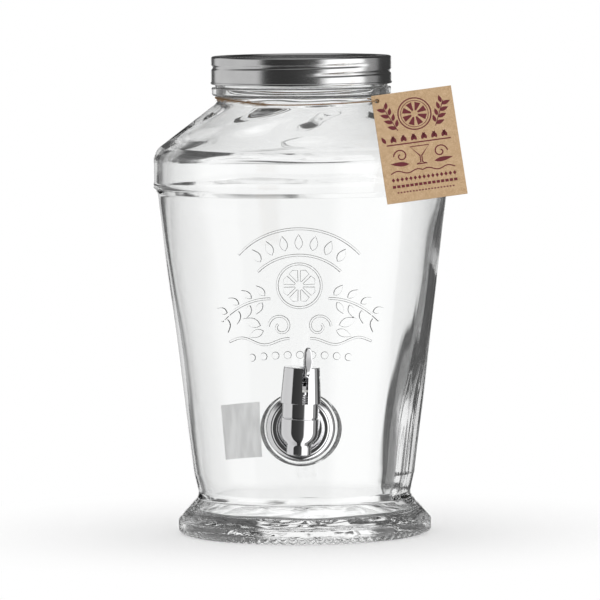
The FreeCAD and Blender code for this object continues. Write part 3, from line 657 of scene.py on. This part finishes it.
def jar_inside():
    """What is hollow in the jar, up to above its mouth."""
    height = TAPER_TOP_Z - TAPER_FOOT_Z
    inset = WALL * math.hypot(TAPER_TOP_R - TAPER_FOOT_R, height) / height
    slope = (NECK_Z - SHOULDER_Z) / (BAND_R - NECK_R)
    cone_z = SHOULDER_Z - WALL * math.sqrt(1 + slope * slope)
    band_r = BAND_R - WALL
    outline = rounded([
        (0, FLOOR_Z + 2.5, 0), (34, FLOOR_Z + 2.5, 30), (FLOOR_R - 8, FLOOR_Z, 20),
        (FLOOR_R, FLOOR_Z, 4), (WAIST_R - WALL + 0.4, WAIST_Z + 1.1, 8),
        (TAPER_FOOT_R - inset, TAPER_FOOT_Z, 20), (TAPER_TOP_R - inset, TAPER_TOP_Z, 10),
        (band_r, BAND_FOOT_Z + WALL / 2, 10), (band_r, cone_z + slope * WALL, 10.1),
        (MOUTH_R, cone_z + slope * (BAND_R - MOUTH_R), 6), (MOUTH_R, JAR_TOP_Z + 1, 0),
        (0, JAR_TOP_Z + 1, 0),
    ])
    return lathe("jar_hollow", refined(outline, 6.0), 240, inner_shift)


def cylinder(name, radius, low, high, columns=96):
    return lathe(name, [(0, low), (radius, low), (radius, high), (0, high)], columns)


def glass_thread():
    """The raised thread on the neck, its ends run out into the glass."""
    count = 150
    verts = []
    for i in range(count + 1):
        t = i / count
        angle = THREAD_ANGLE + 2 * math.pi * THREAD_TURNS * t
        z = THREAD_Z + PITCH * THREAD_TURNS * t
        inner = FINISH_R - 0.6
        run_out = min(1.0, 12 * t + 0.15, 12 * (1 - t) + 0.15)
        outer = FINISH_R + THREAD_HEIGHT * run_out
        for r, up in ((inner, -1.3), (outer, -0.6), (outer, 0.6), (inner, 1.3)):
            verts.append((r * math.cos(angle), r * math.sin(angle), z + up))
    return joined("jar_thread", [(verts, bar_faces(count + 1, 4))])


def on_taper(points):
    """Bends (across, height, level) corners round the front of the tapered wall."""
    placed = []
    for s, z, level in points:
        r = taper_radius(z)
        angle = -math.pi / 2 + s / r
        placed.append(((r + level) * math.cos(angle), (r + level) * math.sin(angle), z))
    return placed


def branch_height(x):
    """The height of the leafy branch at a distance from the middle."""
    return 169 - 0.012 * (x - 20) ** 2


def relief_lines():
    """The bars of the moulded ornament: (points, closed) lines, millimetres across and up."""
    lines = [(arc(0, ARCH_Z, 59, 44, 136), False), (arc(0, ARCH_Z, 41, 46, 134), False)]
    lines.append((arc(0, SLICE_Z, 15, 0, 356), True))
    for side in (-1, 1):
        lines.append((spiral(side * 13, 150, 8.5, 2.2, 90 - side * 90, side * 400), False))
        ground = [(side * t, 139.5 + 2.2 * math.sin(t / 5.2)) for t in range(7, 52)]
        lines.append((ground, False))
        lines.append(([(side * x, branch_height(x)) for x in range(20, 58)], False))
    return lines


def branch_leaves(side):
    """Four pairs of leaves along the branch on one side, and two below it."""
    leaves = []
    for k in range(4):
        for up, x in ((1, 23.5 + 9.2 * k), (-1, 26 + 9.2 * k)):
            slope = math.atan(0.024 * (x - 20))
            angle = math.degrees(up * math.radians(52) - slope)
            x += 2.0 * up * math.sin(slope)
            z = branch_height(x) + 2.2 * up
            leaves.append(leaf(side * x, z, 9.5, 4.6, angle if side > 0 else 180 - angle))
    leaves.append(leaf(side * 27, 150.5, 14, 6.4, 90 - side * 72))
    leaves.append(leaf(side * 25, 147, 12, 5.4, 90 - side * 112))
    return leaves


def relief_plates():
    """The raised shapes of the ornament, as closed outlines."""
    plates = []
    for angle in range(54, 127, 12):
        x, z = polar(*polar(0, ARCH_Z, 50, angle), -5.2, angle)
        plates.append(leaf(x, z, 10.4, 5.4, angle))
    for angle in range(0, 360, 45):
        wedge = ((3.0, 14), (10.6, 5), (11.6, 22.5), (10.6, 40), (3.0, 31))
        plates.append([polar(0, SLICE_Z, r, angle + t) for r, t in wedge])
    for side in (-1, 1):
        plates.extend(branch_leaves(side))
    for k in range(-4, 5):
        plates.append(arc(k * 8.4, 130.5 - 0.14 * k * k, 2.6, 0, 324))
    return plates


def jar_relief():
    """The whole ornament, sunk a little into the wall that it is joined to."""
    shapes = []
    for points, closed in relief_lines():
        shapes.append(ridge(points, closed, BAR_FOOT, BAR_CREST, RELIEF_ROOT, RELIEF_RISE))
    for points in relief_plates():
        shapes.append(plate(points, RELIEF_SLOPE, RELIEF_ROOT, RELIEF_RISE))
    return joined("jar_relief", [(on_taper(verts), faces) for verts, faces in shapes])


def wall_radius(a, z):
    """The radius of the tapered wall at angles and heights, with its unevenness."""
    r = taper_radius(z)
    return r + outer_shift(a, r, z)[0]


def wall_normals(a, z):
    """The normals of the tapered wall, from its radius close by."""
    r = wall_radius(a, z)
    lean = wall_radius(a, z + 0.5) - wall_radius(a, z - 0.5)
    swing = (wall_radius(a + 0.01, z) - wall_radius(a - 0.01, z)) / 0.02
    c = np.cos(a)
    s = np.sin(a)
    wall = np.stack([swing * s + r * c, r * s - swing * c, -lean * r], axis=1)
    return wall / np.linalg.norm(wall, axis=1)[:, None]


def read(items, key, width, kind=float):
    """One property of a mesh's items: an array with a row for each item."""
    values = np.empty(len(items) * width, dtype=kind)
    items.foreach_get(key, values)
    return values.reshape(-1, width) if width > 1 else values


def plain_wall_normals(jar):
    """Shades the wall round the ornament as the plain wall, and its raised sides flat."""
    mesh = jar.data
    normals = read(mesh.corner_normals, "vector", 3)
    vertex = read(mesh.loops, "vertex_index", 1, int)
    sizes = read(mesh.polygons, "loop_total", 1, int)
    flat = np.repeat(read(mesh.polygons, "normal", 3), sizes, axis=0)
    x, y, z = read(mesh.vertices, "co", 3)[vertex].T / MM
    a = np.arctan2(y, x)
    level = np.hypot(x, y) - wall_radius(a, z)
    first = np.cumsum(sizes) - sizes
    spread = np.maximum.reduceat(level, first) - np.minimum.reduceat(level, first)
    sloping = np.repeat(spread, sizes) > 0.2
    close = (np.abs(level) < 1.2) & (np.abs(a + math.pi / 2) < RELIEF_HALF_ANGLE)
    close = close & (z > RELIEF_LOW_Z) & (z < RELIEF_TOP_Z)
    on_wall = close & ~sloping
    on_side = close & sloping
    normals[on_wall] = wall_normals(a, z)[on_wall]
    normals[on_side] = flat[on_side]
    mesh.normals_split_custom_set([tuple(n) for n in normals])


def make_jar():
    jar = jar_outside()
    foot_r = BOSS_R + BOSS_SLOPE * BOSS_DEPTH
    seat = rounded([(0, 0, 0), (BOSS_R, 0, 1.6), (foot_r, BOSS_DEPTH, 0), (0, BOSS_DEPTH, 0)], 15)
    boss = laid(lathe("jar_boss", seat, 160), BOSS_FACE_Y, TAP_Z)
    flat = laid(cylinder("jar_flat", BOSS_R, -BOSS_R, 0, 160), BOSS_FACE_Y, TAP_Z)
    pad = laid(cylinder("jar_pad", PAD_R, BOSS_FACE_Y + WALL / 2, PAD_FACE_Y, 120), 0, TAP_Z)
    hole = laid(cylinder("jar_hole", HOLE_R, BOSS_FACE_Y - 1, PAD_FACE_Y + 1, 72), 0, TAP_Z)
    boolean(jar, ("UNION", boss), ("DIFFERENCE", flat), ("DIFFERENCE", jar_inside()),
            ("UNION", pad), ("DIFFERENCE", hole), ("UNION", glass_thread()),
            ("UNION", jar_relief()))
    smooth(jar, 32)
    plain_wall_normals(jar)
    wear(jar, glass_material())
    jar.visible_shadow = False
    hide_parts("glass_jar")
    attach(jar, "jar")


# ======== lid
def roll(a, z):
    """How deep the rolled thread is at an angle and a height."""
    depth = 0 * a
    for turn in (0, 1):
        t = ((a + math.pi / 2) % (2 * math.pi)) / (2 * math.pi) + turn
        off = np.abs(z - (ROLL_Z + PITCH * t))
        ends = smoothstep(0, 0.05, t) * (1 - smoothstep(ROLL_TURNS - 0.05, ROLL_TURNS, t))
        depth = np.maximum(depth, ROLL_DEPTH * ends * (1 - smoothstep(0.1, 2.1, off)))
    return depth


def lid_shift(a, r, z):
    """The rolled thread, on the skirt between its hem and its round shoulder."""
    skirt = (r > LID_R - 3) * smoothstep(LID_BOTTOM_Z + 1.5, LID_BOTTOM_Z + 3, z)
    skirt = skirt * (1 - smoothstep(LID_TOP_Z - 3.0, LID_TOP_Z - 2.0, z))
    return -roll(a, z) * skirt, 0 * a


def make_lid():
    inner_r = LID_R - LID_SHEET
    roof = LID_TOP_Z - LID_SHEET
    hem = LID_BOTTOM_Z + 0.7
    outline = rounded([
        (0, roof - 0.8, 0), (PANEL_R, roof - 0.8, 0.3), (PANEL_R + 0.8, roof, 0.3),
        (inner_r, roof, 1.1), (inner_r, hem + 0.9, 0.3),
        (LID_R - 0.95, hem + 0.5, 0.4), (LID_R - 0.95, LID_BOTTOM_Z, 0.6),
        (LID_R + 0.45, LID_BOTTOM_Z, 0.68), (LID_R + 0.45, hem + 0.62, 0.55),
        (LID_R, hem + 0.9, 0.3), (LID_R, LID_TOP_Z, 1.6),
        (PANEL_R + 0.8, LID_TOP_Z, 0.4), (PANEL_R, LID_TOP_Z - 0.8, 0.4),
        (0, LID_TOP_Z - 0.8, 0),
    ], 15)
    fine = [outline[0]]
    for p, q in zip(outline, outline[1:]):
        on_skirt = min(p[0], q[0]) > LID_R - 3
        fine.extend(refined([p, q], 0.45 if on_skirt else 12.0)[1:])
    lid = lathe("lid", fine, 300, lid_shift)
    smooth(lid, 40)
    wear(lid, lid_material())
    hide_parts("lid_shell")
    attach(lid, "lid")


# ======== tap
def make_flange_rim(chrome):
    """The bright bevelled rim that the tap's flange holds against its washer."""
    back = BOSS_FACE_Y - WASHER_T - 0.05
    profile = [
        (FLANGE_R - 0.1, back), (RIM_R - 0.9, back), (RIM_R - 0.25, back - 0.2),
        (RIM_R, back - 0.6), (RIM_R - 0.2, back - 1.1), (FLANGE_R + 0.9, back - 3.4),
        (FLANGE_R + 0.3, back - 3.6), (FLANGE_R - 0.1, back - 3.4),
    ]
    rim = laid(closed_lathe("flange_rim", profile, 160), 0, TAP_Z)
    smooth(rim, 30)
    wear(rim, chrome)
    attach(rim, "jar")


def make_lever(chrome):
    """The lever with its cast edges rounded, and its tip drawn out a little."""
    lever = link("lever_rounded", NODES["lever"].data.copy())
    remesh = lever.modifiers.new("remesh", "REMESH")
    remesh.mode = "VOXEL"
    remesh.voxel_size = LEVER_GRAIN * MM
    soft = lever.modifiers.new("soft", "SMOOTH")
    soft.factor = 0.5
    soft.iterations = LEVER_SOFTENING
    applied(lever)
    mesh = lever.data
    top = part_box("lever")[1][2] / MM
    for vertex in mesh.vertices:
        share = (vertex.co.z / MM - (top - LEVER_TIP_LENGTH)) / LEVER_TIP_LENGTH
        vertex.co.z += LEVER_TIP * MM * max(0.0, share)
    for polygon in mesh.polygons:
        polygon.use_smooth = True
    wear(lever, chrome)
    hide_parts("lever")
    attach(lever, "lever")


def make_spring(steel):
    """The return spring: a copy of the solid's spring, in steel, with its place baked into its
    mesh.
    """
    spring = link("coil_spring", NODES["return_spring"].data.copy())
    wear(spring, steel)
    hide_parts("return_spring")
    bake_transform(spring)


# ======== twine
def nurbs(name, points, radius):
    data = bpy.data.curves.new(name, "CURVE")
    data.dimensions = "3D"
    data.resolution_u = 12
    data.bevel_depth = radius
    spline = data.splines.new("NURBS")
    spline.points.add(len(points) - 1)
    for knot, point in zip(spline.points, points):
        knot.co = (*(Vector(point) * MM), 1.0)
    spline.order_u = 3
    spline.use_endpoint_u = True
    return link(name, data)


def followed(points):
    """Close points, in millimetres, on the smooth line that follows the route."""
    curve = nurbs("route", points, 0)
    mesh = bpy.data.meshes.new_from_object(curve)
    line = [v.co / MM for v in mesh.vertices]
    bpy.data.objects.remove(curve)
    bpy.data.meshes.remove(mesh)
    return line


def evenly(points, step):
    """The polyline's points again, at even steps."""
    result = [points[0].copy()]
    need = step
    for a, b in zip(points, points[1:]):
        length = (b - a).length
        at = need
        while at <= length and length > 0:
            result.append(a.lerp(b, at / length))
            at += step
        need = at - length
    return result


def strand(points, radius, offset, pitch, phase, columns=6, taper=0):
    """A ply laid round a line: (points, faces). Its end thins out over taper points."""
    count = len(points)
    normal = Vector((0, 0, 1))
    verts = []
    walked = 0.0
    for i, p in enumerate(points):
        before = points[max(0, i - 1)]
        after = points[min(count - 1, i + 1)]
        along = (after - before).normalized()
        normal = (normal - along * normal.dot(along)).normalized()
        side = along.cross(normal)
        if i:
            walked += (p - points[i - 1]).length
        angle = phase + 2 * math.pi * walked / pitch
        centre = p + (normal * math.cos(angle) + side * math.sin(angle)) * offset
        thin = min(1.0, (count - i) / taper) if taper else 1.0
        for k in range(columns):
            turn = 2 * math.pi * k / columns
            out = normal * math.cos(turn) + side * math.sin(turn)
            verts.append(centre + out * radius * thin)
    return verts, bar_faces(count, columns)


def hair(points, radius):
    """One loose fibre: a thin three-sided bar."""
    return strand(points, radius, 0, 10, 0, 3)


def fuzz(points, count, reach, seed, thick=FIBRE_R):
    """Loose fibres that stand off a line, away from the glass: (points, faces) each."""
    rng = np.random.default_rng(seed)
    parts = []
    for _ in range(count):
        i = int(rng.integers(1, len(points) - 2))
        along = (points[i + 1] - points[i - 1]).normalized()
        out = Vector(rng.normal(size=3))
        out = (out - along * out.dot(along)).normalized()
        if out.dot(Vector((points[i].x, points[i].y, 0))) < 0:
            out = -out
        lean = rng.uniform(-1.2, 1.2)
        length = reach * rng.uniform(0.4, 1.0)
        start = points[i] + out * 0.3
        line = [start]
        for k in (1, 2, 3):
            t = k / 3
            line.append(start + out * (length * 0.45 * t) + along * (lean * length * t * t))
        parts.append(hair(line, thick))
    return parts


def make_twine(jute):
    route = evenly(followed(TWINE_ROUTE), 0.45)
    parts = []
    for phase in (0, math.pi):
        parts.append(strand(route, PLY_R, PLY_OFFSET, PLY_PITCH, phase))
    parts.extend(fuzz(route, 420, 1.5, 5))
    left_front = [p for p in route if p.y < -15 and -62 < p.x < -22]
    parts.extend(fuzz(left_front, 520, 4.2, 6, 0.07))
    twine = joined("twine_loop", parts)
    smooth(twine, 60)
    wear(twine, jute)
    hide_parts("twine")
    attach(twine, "jar")
    knot = make_knot(jute)
    [tuple(p * MM) for p in followed(TWINE_ROUTE)]


def knot_turns():
    """The line of the turns that are drawn tight about the twine."""
    line = []
    for k in range(61):
        t = k / 60
        angle = 2 * math.pi * 2.4 * t
        x = 1.05 * math.cos(angle)
        z = 1.05 * math.sin(angle)
        line.append(KNOT_AT + Vector((x, -1.3 + 2.6 * t, z)))
    return line


def frayed(tail, rng):
    """Nine loose fibres that go on from the end of a tail."""
    end = tail[-1]
    along = (end - tail[-4]).normalized()
    fibres = []
    for _ in range(9):
        swerve = Vector(rng.normal(size=3)) * 0.16
        line = [end - along * 1.2 + swerve * 0.5]
        for k in (1, 2, 3):
            line.append(line[0] + along * (0.45 * k) + swerve * (0.6 * k))
        fibres.append(hair(line, 0.05))
    return fibres


def make_knot(jute):
    """Turns drawn tight about the twine, and two tails that end in loose fibres."""
    parts = []
    tails = [evenly(followed([tuple(KNOT_AT), *tail]), 0.4) for tail in (SHORT_TAIL, LONG_TAIL)]
    for line in (knot_turns(), *tails):
        for phase in (0, math.pi):
            parts.append(strand(line, 0.27, PLY_OFFSET, 2.6, phase, taper=4))
    rng = np.random.default_rng(8)
    for tail in tails:
        parts.extend(frayed(tail, rng))
    knot = joined("twine_knot_wound", [([NECK_TURN @ Vector(p) for p in points], faces)
                                       for points, faces in parts])
    smooth(knot, 60)
    wear(knot, jute)
    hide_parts("twine_knot")
    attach(knot, "jar")
    return knot


# ======== tag
def tag_frame():
    turn = Matrix.Rotation(-TAG_LEAN, 4, "X") @ Matrix.Rotation(-TAG_TURN, 4, "Y")
    return Matrix.Translation(TAG_HOLE) @ NECK_TURN.to_4x4() @ turn


def stroke(points, width, closed=False):
    """A line of ink."""
    return ridge(points, closed, width, width, INK_BACK, INK_FACE)


def blot(points):
    """A filled shape of ink."""
    return plate(points, 0, INK_BACK, INK_FACE)


def printed_slice():
    """A citrus slice in two rings, at the top of the tag."""
    z = -12.5
    shapes = [stroke(arc(TAG_MIDDLE, z, 11.2, 0, 356), 0.9, True),
              stroke(arc(TAG_MIDDLE, z, 9.4, 0, 356), 0.45, True)]
    for angle in range(0, 360, 45):
        wedge = ((1.4, 0), (7.4, 6), (7.4, 39), (1.4, 45))
        centre = polar(TAG_MIDDLE, z, 1.1, angle + 22.5)
        shapes.append(blot([polar(*centre, r, angle + t) for r, t in wedge]))
    return shapes


def printed_side(side):
    """A twig with leaves, a scroll and a wave, on one side of the middle."""
    def off(reach):
        return TAG_MIDDLE + side * reach

    shapes = [stroke([(off(13.0 + 1.9 * t), -23 + 4.4 * t) for t in range(5)], 0.6)]
    for k in range(4):
        x = off(13.4 + 1.9 * k)
        z = -21.5 + 4.4 * k
        shapes.append(blot(leaf(x, z, 6.6, 2.9, 90 - side * 72)))
        shapes.append(blot(leaf(x, z + 1.2, 5.6, 2.5, 90 + side * 12)))
    scroll = spiral(off(13.5), -41.2, 5.0, 1.0, 90 - side * 90, side * 430)
    shapes.append(stroke(scroll, 0.9))
    shapes.append(blot(leaf(off(8.6), -47.5, 13.0, 3.2, 90 - side * 84)))
    wave = [(off(t), -52.6 + 1.0 * math.sin(t / 2.2)) for t in range(23)]
    shapes.append(stroke(wave, 0.8))
    return shapes


def box(x, half, low, high):
    """The outline of a rectangle about x."""
    return [(x - half, low), (x + half, low), (x + half, high), (x - half, high)]


def printed_middle():
    """A row of leaves on a rule, a stemmed glass, and rows of lozenges and dashes."""
    shapes = []
    for k in range(-6, 7):
        angle = 62 if k % 2 else 118
        shapes.append(blot(leaf(TAG_MIDDLE + 3.5 * k - 1.2, -31.2, 5.6, 2.5, angle)))
    shapes.append(stroke([(TAG_MIDDLE - 22, -32.8), (TAG_MIDDLE + 22, -32.8)], 0.9))
    glass = ((-6.5, -35.5), (6.5, -35.5), (0.6, -42.5), (0.6, -47), (3.6, -48.2),
             (-3.6, -48.2), (-0.6, -47), (-0.6, -42.5))
    shapes.append(stroke([(TAG_MIDDLE + x, z) for x, z in glass], 0.9, True))
    for k in range(-7, 8):
        x = TAG_MIDDLE + 3.0 * k
        shapes.append(blot([(x - 1.2, -57.6), (x, -56.0), (x + 1.2, -57.6), (x, -59.2)]))
        shapes.append(blot(box(x, 1.15, -63.4, -61.4)))
    for k in range(-9, 10):
        shapes.append(blot(box(TAG_MIDDLE + 2.1 * k, 0.6, -67.2, -66.2)))
    return shapes


def tag_print():
    """The printed design on the card, with no lettering: shapes of thin ink."""
    return printed_slice() + printed_side(-1) + printed_side(1) + printed_middle()


def make_tag():
    wear(NODES["tag_cover"], card_material())
    parts = []
    place = tag_frame()
    for verts, faces in tag_print():
        parts.append(([place @ Vector((x, -level, z)) for x, z, level in verts], faces))
    ink = joined("tag_ink", parts)
    wear(ink, plain("ink", (0.155, 0.022, 0.03), 0.8, grain=0.25, grain_scale=2500))
    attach(ink, "tag")
    wear(NODES["tag_leaf"], plain("leaf_paper", (0.74, 0.69, 0.58), 0.85, grain=0.05))


# ======== stage
def at(degrees):
    """Where an angle round the jar lies on a ramp. The camera's side is at 0."""
    return (degrees + 180) / 360


def up(degrees):
    """Where an angle above the level of the dome's middle lies on a ramp."""
    return (degrees + 90) / 180


def within(tree, angle, inner, outer):
    """1 up to the inner angle, 0 from the outer one. The angle is a share of half a turn."""
    return ramp(tree, angle, [(inner / 180, 1.0), (outer / 180, 0.0)])


def mirrored_studio(tree, around, rise, away):
    """The studio as mirrored rays see it: walls, and a white card behind the jar."""
    walls = ramp(tree, around, [
        (0.0, 0.05), (at(-148), 0.05), (at(-143), 0.72), (at(-100), 0.66), (at(-55), 0.7),
        (at(-51), 0.035), (at(-10), 0.05), (at(22), 0.09), (at(34), 1.6), (at(86), 1.6),
        (at(89), 0.36), (at(113), 0.3), (at(117), 0.05), (1.0, 0.05),
    ])
    fade = ramp(tree, rise, [
        (0.0, 0.4), (up(-75), 0.7), (up(-55), 1.0), (up(24), 1.0), (up(40), 0.12), (1.0, 0.04),
    ])
    walls = mixed(tree, 1.0, walls, fade, "MULTIPLY")
    overhead = ramp(tree, rise, [(up(50), 0.0), (up(68), 1.0)])
    walls = mixed(tree, overhead, walls, grey(0.5))
    wide = within(tree, away, 12, 17)
    tall = ramp(tree, rise, [(up(-24), 0.0), (up(-19), 1.0), (up(2.2), 1.0), (up(3.4), 0.0)])
    return mixed(tree, times(tree, wide, tall), walls, grey(1.1))


def card_behind(tree, turn, rise, away):
    """Where the two white cards behind the jar are. Their upper and lower edges are ragged,
    the lower card is narrower near its foot, and both are narrower on the right."""
    sweep = ramp(tree, rise, [(up(-17), 1.0), (up(-12), 0.0)])
    right = calc(tree, "GREATER_THAN", turn, 0.0)
    narrowed = calc(tree, "ADD", times(tree, sweep, 7 / 180), times(tree, right, 10.5 / 180))
    wide = within(tree, calc(tree, "ADD", away, narrowed), 22, 25)
    ragged = noise(tree, object_space(tree), 2.2, 3.0, 0.6)
    ragged = times(tree, calc(tree, "SUBTRACT", ragged, 0.5), 0.07)
    tall = ramp(tree, calc(tree, "ADD", rise, ragged), [
        (up(-21), 0.0), (up(-15), 1.0), (up(6.0), 1.0), (up(7.2), 0.0),
        (up(13), 0.0), (up(14), 1.0), (up(34), 1.0), (up(38), 0.0),
    ])
    return times(tree, wide, tall)


def refracted_studio(tree, turn, rise, away):
    """The studio as rays through the glass see it: dark, mottled far down, white on the
    camera's side with a soft box high up there, and cards behind the jar."""
    grain = noise(tree, object_space(tree), 1.6, 6.0, 0.7)
    dark = ramp(tree, grain, [(0.35, 0.05), (0.65, 0.16)])
    mottled = ramp(tree, grain, [(0.36, 0.02), (0.52, 0.1), (0.66, 0.5)])
    low = ramp(tree, rise, [(up(-36), 1.0), (up(-30), 0.0)])
    light = mixed(tree, low, dark, mottled)
    off_front = calc(tree, "ABSOLUTE", calc(tree, "DIVIDE", turn, math.pi))
    front = within(tree, off_front, 85, 105)
    above = ramp(tree, rise, [(up(-14), 0.0), (up(-8), 1.0)])
    light = mixed(tree, times(tree, front, above), light, grey(1))
    high = ramp(tree, rise, [(up(28), 0.0), (up(34), 1.0), (up(66), 1.0), (up(72), 0.0)])
    light = mixed(tree, times(tree, front, high), light, grey(2.5))
    return mixed(tree, card_behind(tree, turn, rise, away), light, grey(1))


def dome_material():
    """One studio for mirrored rays and another for rays that pass through the glass."""
    mat, tree, _ = material("studio")
    tree.nodes.clear()
    split = node(tree, "ShaderNodeSeparateXYZ", {0: object_space(tree)})
    x, y, z = split.outputs
    turn = calc(tree, "ARCTAN2", x, times(tree, y, -1.0))
    around = calc(tree, "ADD", calc(tree, "DIVIDE", turn, 2 * math.pi), 0.5)
    height = calc(tree, "ARCTAN2", z, distance(tree, x, y))
    rise = calc(tree, "ADD", calc(tree, "DIVIDE", height, math.pi), 0.5)
    away = calc(tree, "SUBTRACT", calc(tree, "ABSOLUTE", turn), math.pi)
    away = calc(tree, "DIVIDE", calc(tree, "ABSOLUTE", away), math.pi)
    mirrored = mirrored_studio(tree, around, rise, away)
    refracted = refracted_studio(tree, turn, rise, away)
    through = node(tree, "ShaderNodeLightPath").outputs["Is Transmission Ray"]
    light = mixed(tree, through, mirrored, refracted)
    glow = node(tree, "ShaderNodeEmission", {"Color": light, "Strength": 1.0})
    node(tree, "ShaderNodeOutputMaterial", {"Surface": glow.outputs[0]})
    return mat


def make_dome(camera):
    """The dome that carries the studio. It goes round with the camera."""
    outline = [polar(0, 0, DOME_R, t) for t in range(-90, 91, DOME_STEP)]
    outline[0] = (0, -DOME_R)
    outline[-1] = (0, DOME_R)
    dome = lathe("studio", outline, 72)
    dome.location = (0, 0, 0.16)
    dome.rotation_euler.z = CAMERA_YAW
    wear(dome, dome_material())
    dome.visible_camera = False
    dome.visible_diffuse = False
    dome.visible_shadow = False
    dome.parent = camera
    dome.matrix_parent_inverse = camera.matrix_world.inverted()


def make_floor():
    """A pale round table top that runs out into white."""
    floor = lathe("floor", [(0, -20.0), (900, -20.0), (900, -0.05), (0, -0.05)], 96)
    mat, tree, shader = material("floor")
    feed(tree, shader, {"Base Color": grey(0.93), "Roughness": 1.0, "Specular IOR Level": 0.0})
    split = node(tree, "ShaderNodeSeparateXYZ", {0: object_space(tree)})
    far = distance(tree, split.outputs[0], split.outputs[1])
    share = ramp(tree, far, [(0.085, 0.4), (0.3, 1.0)], "EASE")
    glow = node(tree, "ShaderNodeEmission", {"Color": grey(1), "Strength": 1.0})
    mix = node(tree, "ShaderNodeMixShader", {0: share, 1: shader.outputs[0], 2: glow.outputs[0]})
    tree.links.new(mix.outputs[0], tree.nodes["Material Output"].inputs["Surface"])
    wear(floor, mat)
    floor.visible_transmission = False
    floor.visible_glossy = False


def make_world():
    """White to the camera, and a little less as light on the object."""
    world = bpy.data.worlds.new("world")
    bpy.context.scene.world = world
    world.use_nodes = True
    tree = world.node_tree
    back = tree.nodes["Background"]
    path = node(tree, "ShaderNodeLightPath")
    seen = path.outputs["Is Camera Ray"]
    for kind in ("Is Glossy Ray", "Is Transmission Ray"):
        seen = calc(tree, "MAXIMUM", seen, path.outputs[kind])
    level = node(tree, "ShaderNodeMix", {0: seen, 2: 0.9, 3: 1.0}, data_type="FLOAT")
    feed(tree, back, {"Color": grey(1), "Strength": level.outputs[0]})
    world.cycles_visibility.glossy = False
    world.cycles_visibility.transmission = False


def make_lamp():
    """A soft key light from the upper left, which nothing mirrors."""
    data = bpy.data.lights.new("key", "AREA")
    data.energy = 11.0
    data.size = 1.6
    lamp = link("key", data)
    lamp.location = (-1.6, -2.2, 2.4)
    towards = Vector((0, 0, 0.15)) - lamp.location
    lamp.rotation_euler = towards.to_track_quat("-Z", "Y").to_euler()
    lamp.visible_glossy = False
    lamp.visible_transmission = False


# ======== scene
camera = make_camera()
make_twine(twine_material())
make_world()
make_dome(camera)
make_floor()
make_lamp()
make_jar()
make_lid()
make_tag()

chrome = chrome_material()
make_lever(chrome)
make_flange_rim(chrome)
rubber = plain("dark_rubber", (0.03, 0.03, 0.033), 0.45, grain=0.2)
silicone = plain("white_silicone", (0.8, 0.8, 0.77), 0.5, grain=0.03)
plastic = plain("white_plastic", (0.82, 0.81, 0.78), 0.4, grain=0.02)
pin_steel = plain("steel_pin", (0.62, 0.62, 0.63), 0.28, 1.0, grain=0.05)
make_spring(pin_steel)
LOOKS = {
    "tap_body": chrome, "bonnet": chrome, "tap_nut": chrome,
    "outer_washer": rubber, "stem_seal": rubber, "inner_washer": silicone, "lid_seal": silicone,
    "bonnet_gasket": silicone, "seat_seal": silicone, "stem_guide": plastic,
    "valve_stem": pin_steel, "lever_pin": pin_steel,
    "back_label": label_material(),
}
for name, mat in LOOKS.items():
    wear(NODES[name], mat)

# With fewer bounces the thick foot and shoulder of the glass turn black.
cycles = bpy.context.scene.cycles
cycles.max_bounces = 32
cycles.glossy_bounces = 32
cycles.transmission_bounces = 32
bpy.context.scene.view_settings.view_transform = "Standard"
